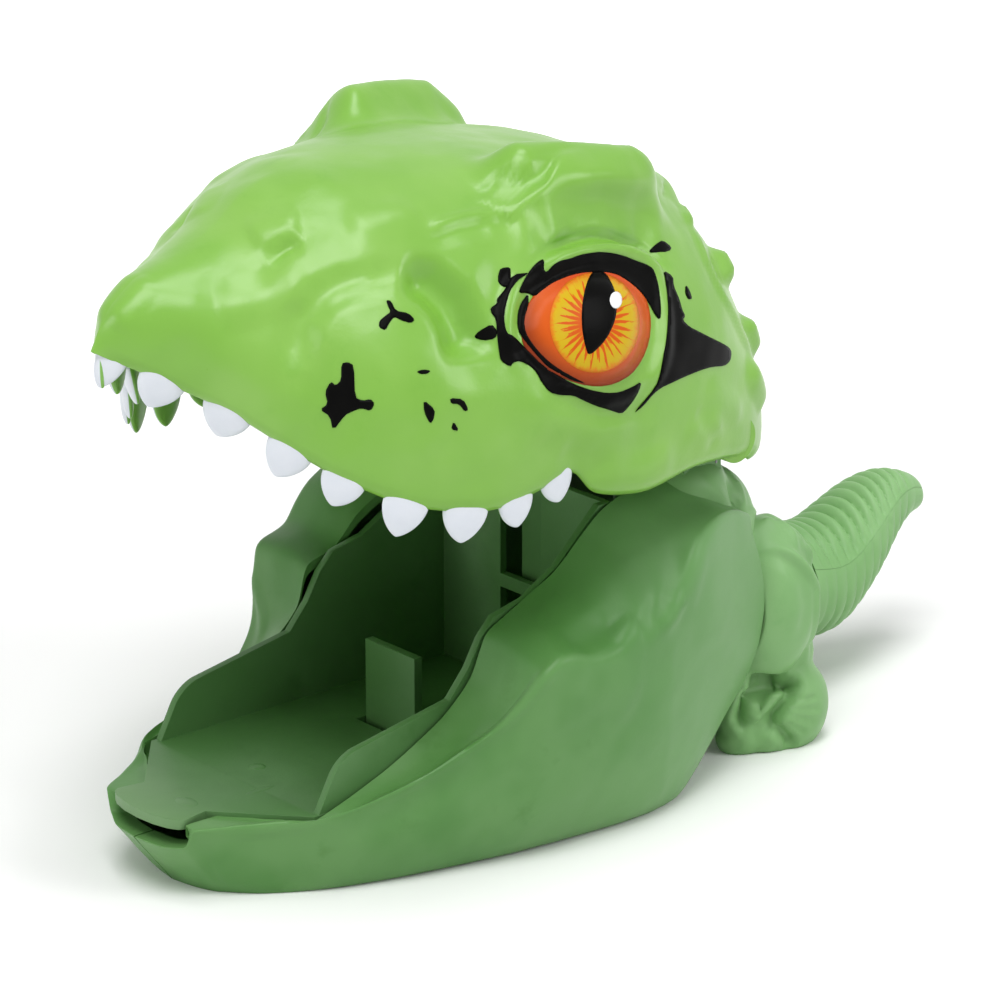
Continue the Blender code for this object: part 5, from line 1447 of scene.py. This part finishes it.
def melted(form, voxel, passes):
    """A form's pieces grown into one even skin."""
    mesh = bpy.data.meshes.new("clay")
    bmesh.ops.recalc_face_normals(form, faces=form.faces)
    form.to_mesh(mesh)
    form.free()
    clay = bpy.data.objects.new("clay", mesh)
    scene.collection.objects.link(clay)
    remesh = clay.modifiers.new("melt", "REMESH")
    remesh.mode = "VOXEL"
    remesh.voxel_size = voxel * MM
    smooth = clay.modifiers.new("soften", "SMOOTH")
    smooth.iterations = passes
    smooth.factor = 0.5
    made = bpy.data.meshes.new_from_object(clay.evaluated_get(bpy.context.evaluated_depsgraph_get()))
    bpy.data.objects.remove(clay, do_unlink=True)
    bpy.data.meshes.remove(mesh)
    return made


def points_of(mesh):
    points = np.empty(len(mesh.vertices) * 3)
    normals = np.empty(len(mesh.vertices) * 3)
    mesh.vertices.foreach_get("co", points)
    mesh.vertices.foreach_get("normal", normals)
    return points.reshape(-1, 3) / MM, normals.reshape(-1, 3)


def hind_skin():
    """Points and faces of the left half: torso and clay melted together, then folded."""
    form = bmesh.new()
    front, rear = BODY_STATIONS[0][0], BODY_STATIONS[-1][0]
    add_rings(form, [body_ring(y) for y in np.linspace(front, rear, BODY_RINGS)])
    for centre, radii in CLAY:
        ball = Matrix.Translation(Vector(centre) * MM) @ Matrix.Diagonal((*(Vector(radii) * MM), 1.0))
        bmesh.ops.create_uvsphere(form, u_segments=BALL_SIDES, v_segments=BALL_RINGS, radius=1.0,
                                  matrix=ball)
    mesh = melted(form, VOXEL, MELT_PASSES)
    points, normals = points_of(mesh)
    faces = np.array([list(face.vertices) for face in mesh.polygons], dtype=object)
    tree = BVHTree.FromPolygons(points.tolist(), [list(face) for face in faces])
    height = stroke_heights(points, tree, BODY_STROKES)
    height += waviness(points, BODY_LUMPS)
    x, y, z = (points + normals * height[:, None]).T
    x, z = np.maximum(x, SEAM_HALF_GAP), np.maximum(z, 0.0)
    rim_bottom, rim_top = JAW_STATIONS[-1][1] + CASING_WALL, JAW_STATIONS[-1][5]
    rim = np.where(z < rim_top, casing_rear(z), 0.0) + np.where(z < rim_bottom, 0.0, BODY_GAP)
    return np.column_stack((x, np.maximum(y, rim), z)), faces


hind_points, hind_faces = hind_skin()
for side, sign in (("left", 1.0), ("right", -1.0)):
    skin = make_mesh("hind_" + side, hind_points * np.array((sign, 1.0, 1.0)), hind_faces, closed=True)
    make_piece("hind_" + side, skin, BODY_GREEN, "base", "body_plastic", "hind_body_" + side)

# %% [markdown]
# ## Tail
# The tail is two closed pieces that meet on a parting line high on its side. Rings across the back make
# the wrinkles: a wave that follows the length of the tail, deeper above the line and fainter below it.
# They could be single rings of wire laid on, but a wave in the loft keeps one skin.

# %% Tail
# Each station: y, the height of its middle, half the width and half the height
TAIL_STATIONS = ((69.9, 23.8, 15.4, 13.1), (78.0, 22.2, 14.2, 12.7), (84.0, 22.8, 13.2, 12.3),
                 (90.0, 25.9, 12.0, 11.7), (95.5, 29.5, 10.6, 10.7), (100.5, 32.7, 8.8, 8.8),
                 (105.0, 34.6, 7.0, 6.9), (109.4, 35.2, 5.5, 5.3), (113.0, 34.7, 4.2, 3.9),
                 (114.6, 34.0, 1.9, 1.8))
TAIL_ROWS, TAIL_COLUMNS = 260, 56
TAIL_PARTING, TAIL_SPLIT = math.radians(28.0), 0.04
FOLD_LENGTH, FOLD_DEPTH, BELLY_LENGTH, BELLY_DEPTH = 3.1, 1.15, 3.6, 0.75
TAIL_LIP, TAIL_LIP_WIDTH = 0.35, 0.2
FOLD_BOW, FOLD_SHARP, FOLD_LEVEL = 1.2, 0.7, 0.6
# Where the folds begin from the root, and where they fade before the tip
ROOT_FADE, TIP_FADE = (0.0, 6.0), (12.0, 3.0)
THIN_TAIL = 4.0
TAIL_CREASE = math.radians(50)


def tail_rings(sign):
    """Rings of the upper or lower piece, each closed across the parting line."""
    numbers = np.linspace(0.0, len(TAIL_STATIONS) - 1, TAIL_ROWS)
    rows = through(TAIL_STATIONS, numbers)
    run = np.concatenate(([0.0], np.cumsum(np.linalg.norm(np.diff(rows[:, :2], axis=0), axis=1))))
    end = math.pi - TAIL_PARTING if sign > 0 else -math.pi - TAIL_PARTING
    turn = np.linspace(TAIL_PARTING, end, TAIL_COLUMNS)
    from_edge = np.sin(np.linspace(0.0, math.pi, TAIL_COLUMNS))
    length, depth = (FOLD_LENGTH, FOLD_DEPTH) if sign > 0 else (BELLY_LENGTH, BELLY_DEPTH)
    rings = []
    for (y, middle, half_width, half_height), along in zip(rows, run):
        place = along - FOLD_BOW * from_edge * sign
        wave = np.abs(np.sin(math.pi * place / length)) ** FOLD_SHARP
        fade = ramp(*ROOT_FADE, along) * (1 - ramp(*(run[-1] - before for before in TIP_FADE), along))
        rise = depth * (wave - FOLD_LEVEL) * fade * from_edge ** 0.5
        rise += TAIL_LIP * fade * soft(from_edge, TAIL_LIP_WIDTH)
        grow = 1 + rise / max(half_height, THIN_TAIL)
        rings.append(np.column_stack((half_width * np.cos(turn) * grow, np.full(len(turn), y),
                                      middle + half_height * np.sin(turn) * grow + sign * TAIL_SPLIT)))
    return rings


def tail_mesh(name, sign):
    form = bmesh.new()
    add_rings(form, tail_rings(sign))
    bmesh.ops.recalc_face_normals(form, faces=form.faces)
    mesh = mesh_from(form, name)
    mesh.set_sharp_from_angle(angle=TAIL_CREASE)
    return mesh


make_piece("tail_upper", tail_mesh("tail_upper", 1), BODY_GREEN, "tail", "body_plastic", "tail_back")
make_piece("tail_lower", tail_mesh("tail_lower", -1), BODY_GREEN, "tail", "body_plastic", "tail_lever")

# %% [markdown]
# The lower piece of the tail goes on as an arm that reaches into the body and works the kicker. Its
# solid has the right form, so a copy is cut off where the tail begins, and only its edges are rounded.

# %% Arm of the tail lever
ARM_END = 69.8
arm_form = copy_of("tail_lever")
everything = list(arm_form.verts) + list(arm_form.edges) + list(arm_form.faces)
bmesh.ops.bisect_plane(arm_form, geom=everything, plane_co=(0.0, ARM_END * MM, 0.0),
                       plane_no=(0.0, 1.0, 0.0), clear_outer=True)
bmesh.ops.holes_fill(arm_form, edges=arm_form.edges)
edged_piece("lever_arm", arm_form, BODY_GREEN, "tail", "body_plastic")

# %% [markdown]
# The coil spring below the tail gets shorter when the tail is pressed, which a stiff solid can't do. So
# a copy of its wire stands in for it, with a mesh of its own, and keeps its foot in place on the base.

# %% Return spring
wire = mesh_from(copy_of("tail_return_spring"), "return_spring")
return_spring = make_piece("return_spring", wire, PIN_STEEL, "base", "pin_steel", "tail_return_spring")
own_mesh(return_spring)

# %% [markdown]
# ## Pins, the head spring and screws
# These solids are right as they are: round steel, turned or wound. They could be traced with finer
# meshes, but hardly any of them is seen, so they keep their shape and only get the dark steel finish in
# their own slots.

# %% Steel for the solids that stay
for name, node in frame["nodes"].items():
    if not node.hide_render:
        node.data.materials.clear()
        node.data.materials.append(PIN_STEEL.material)
        print("steel on", name)
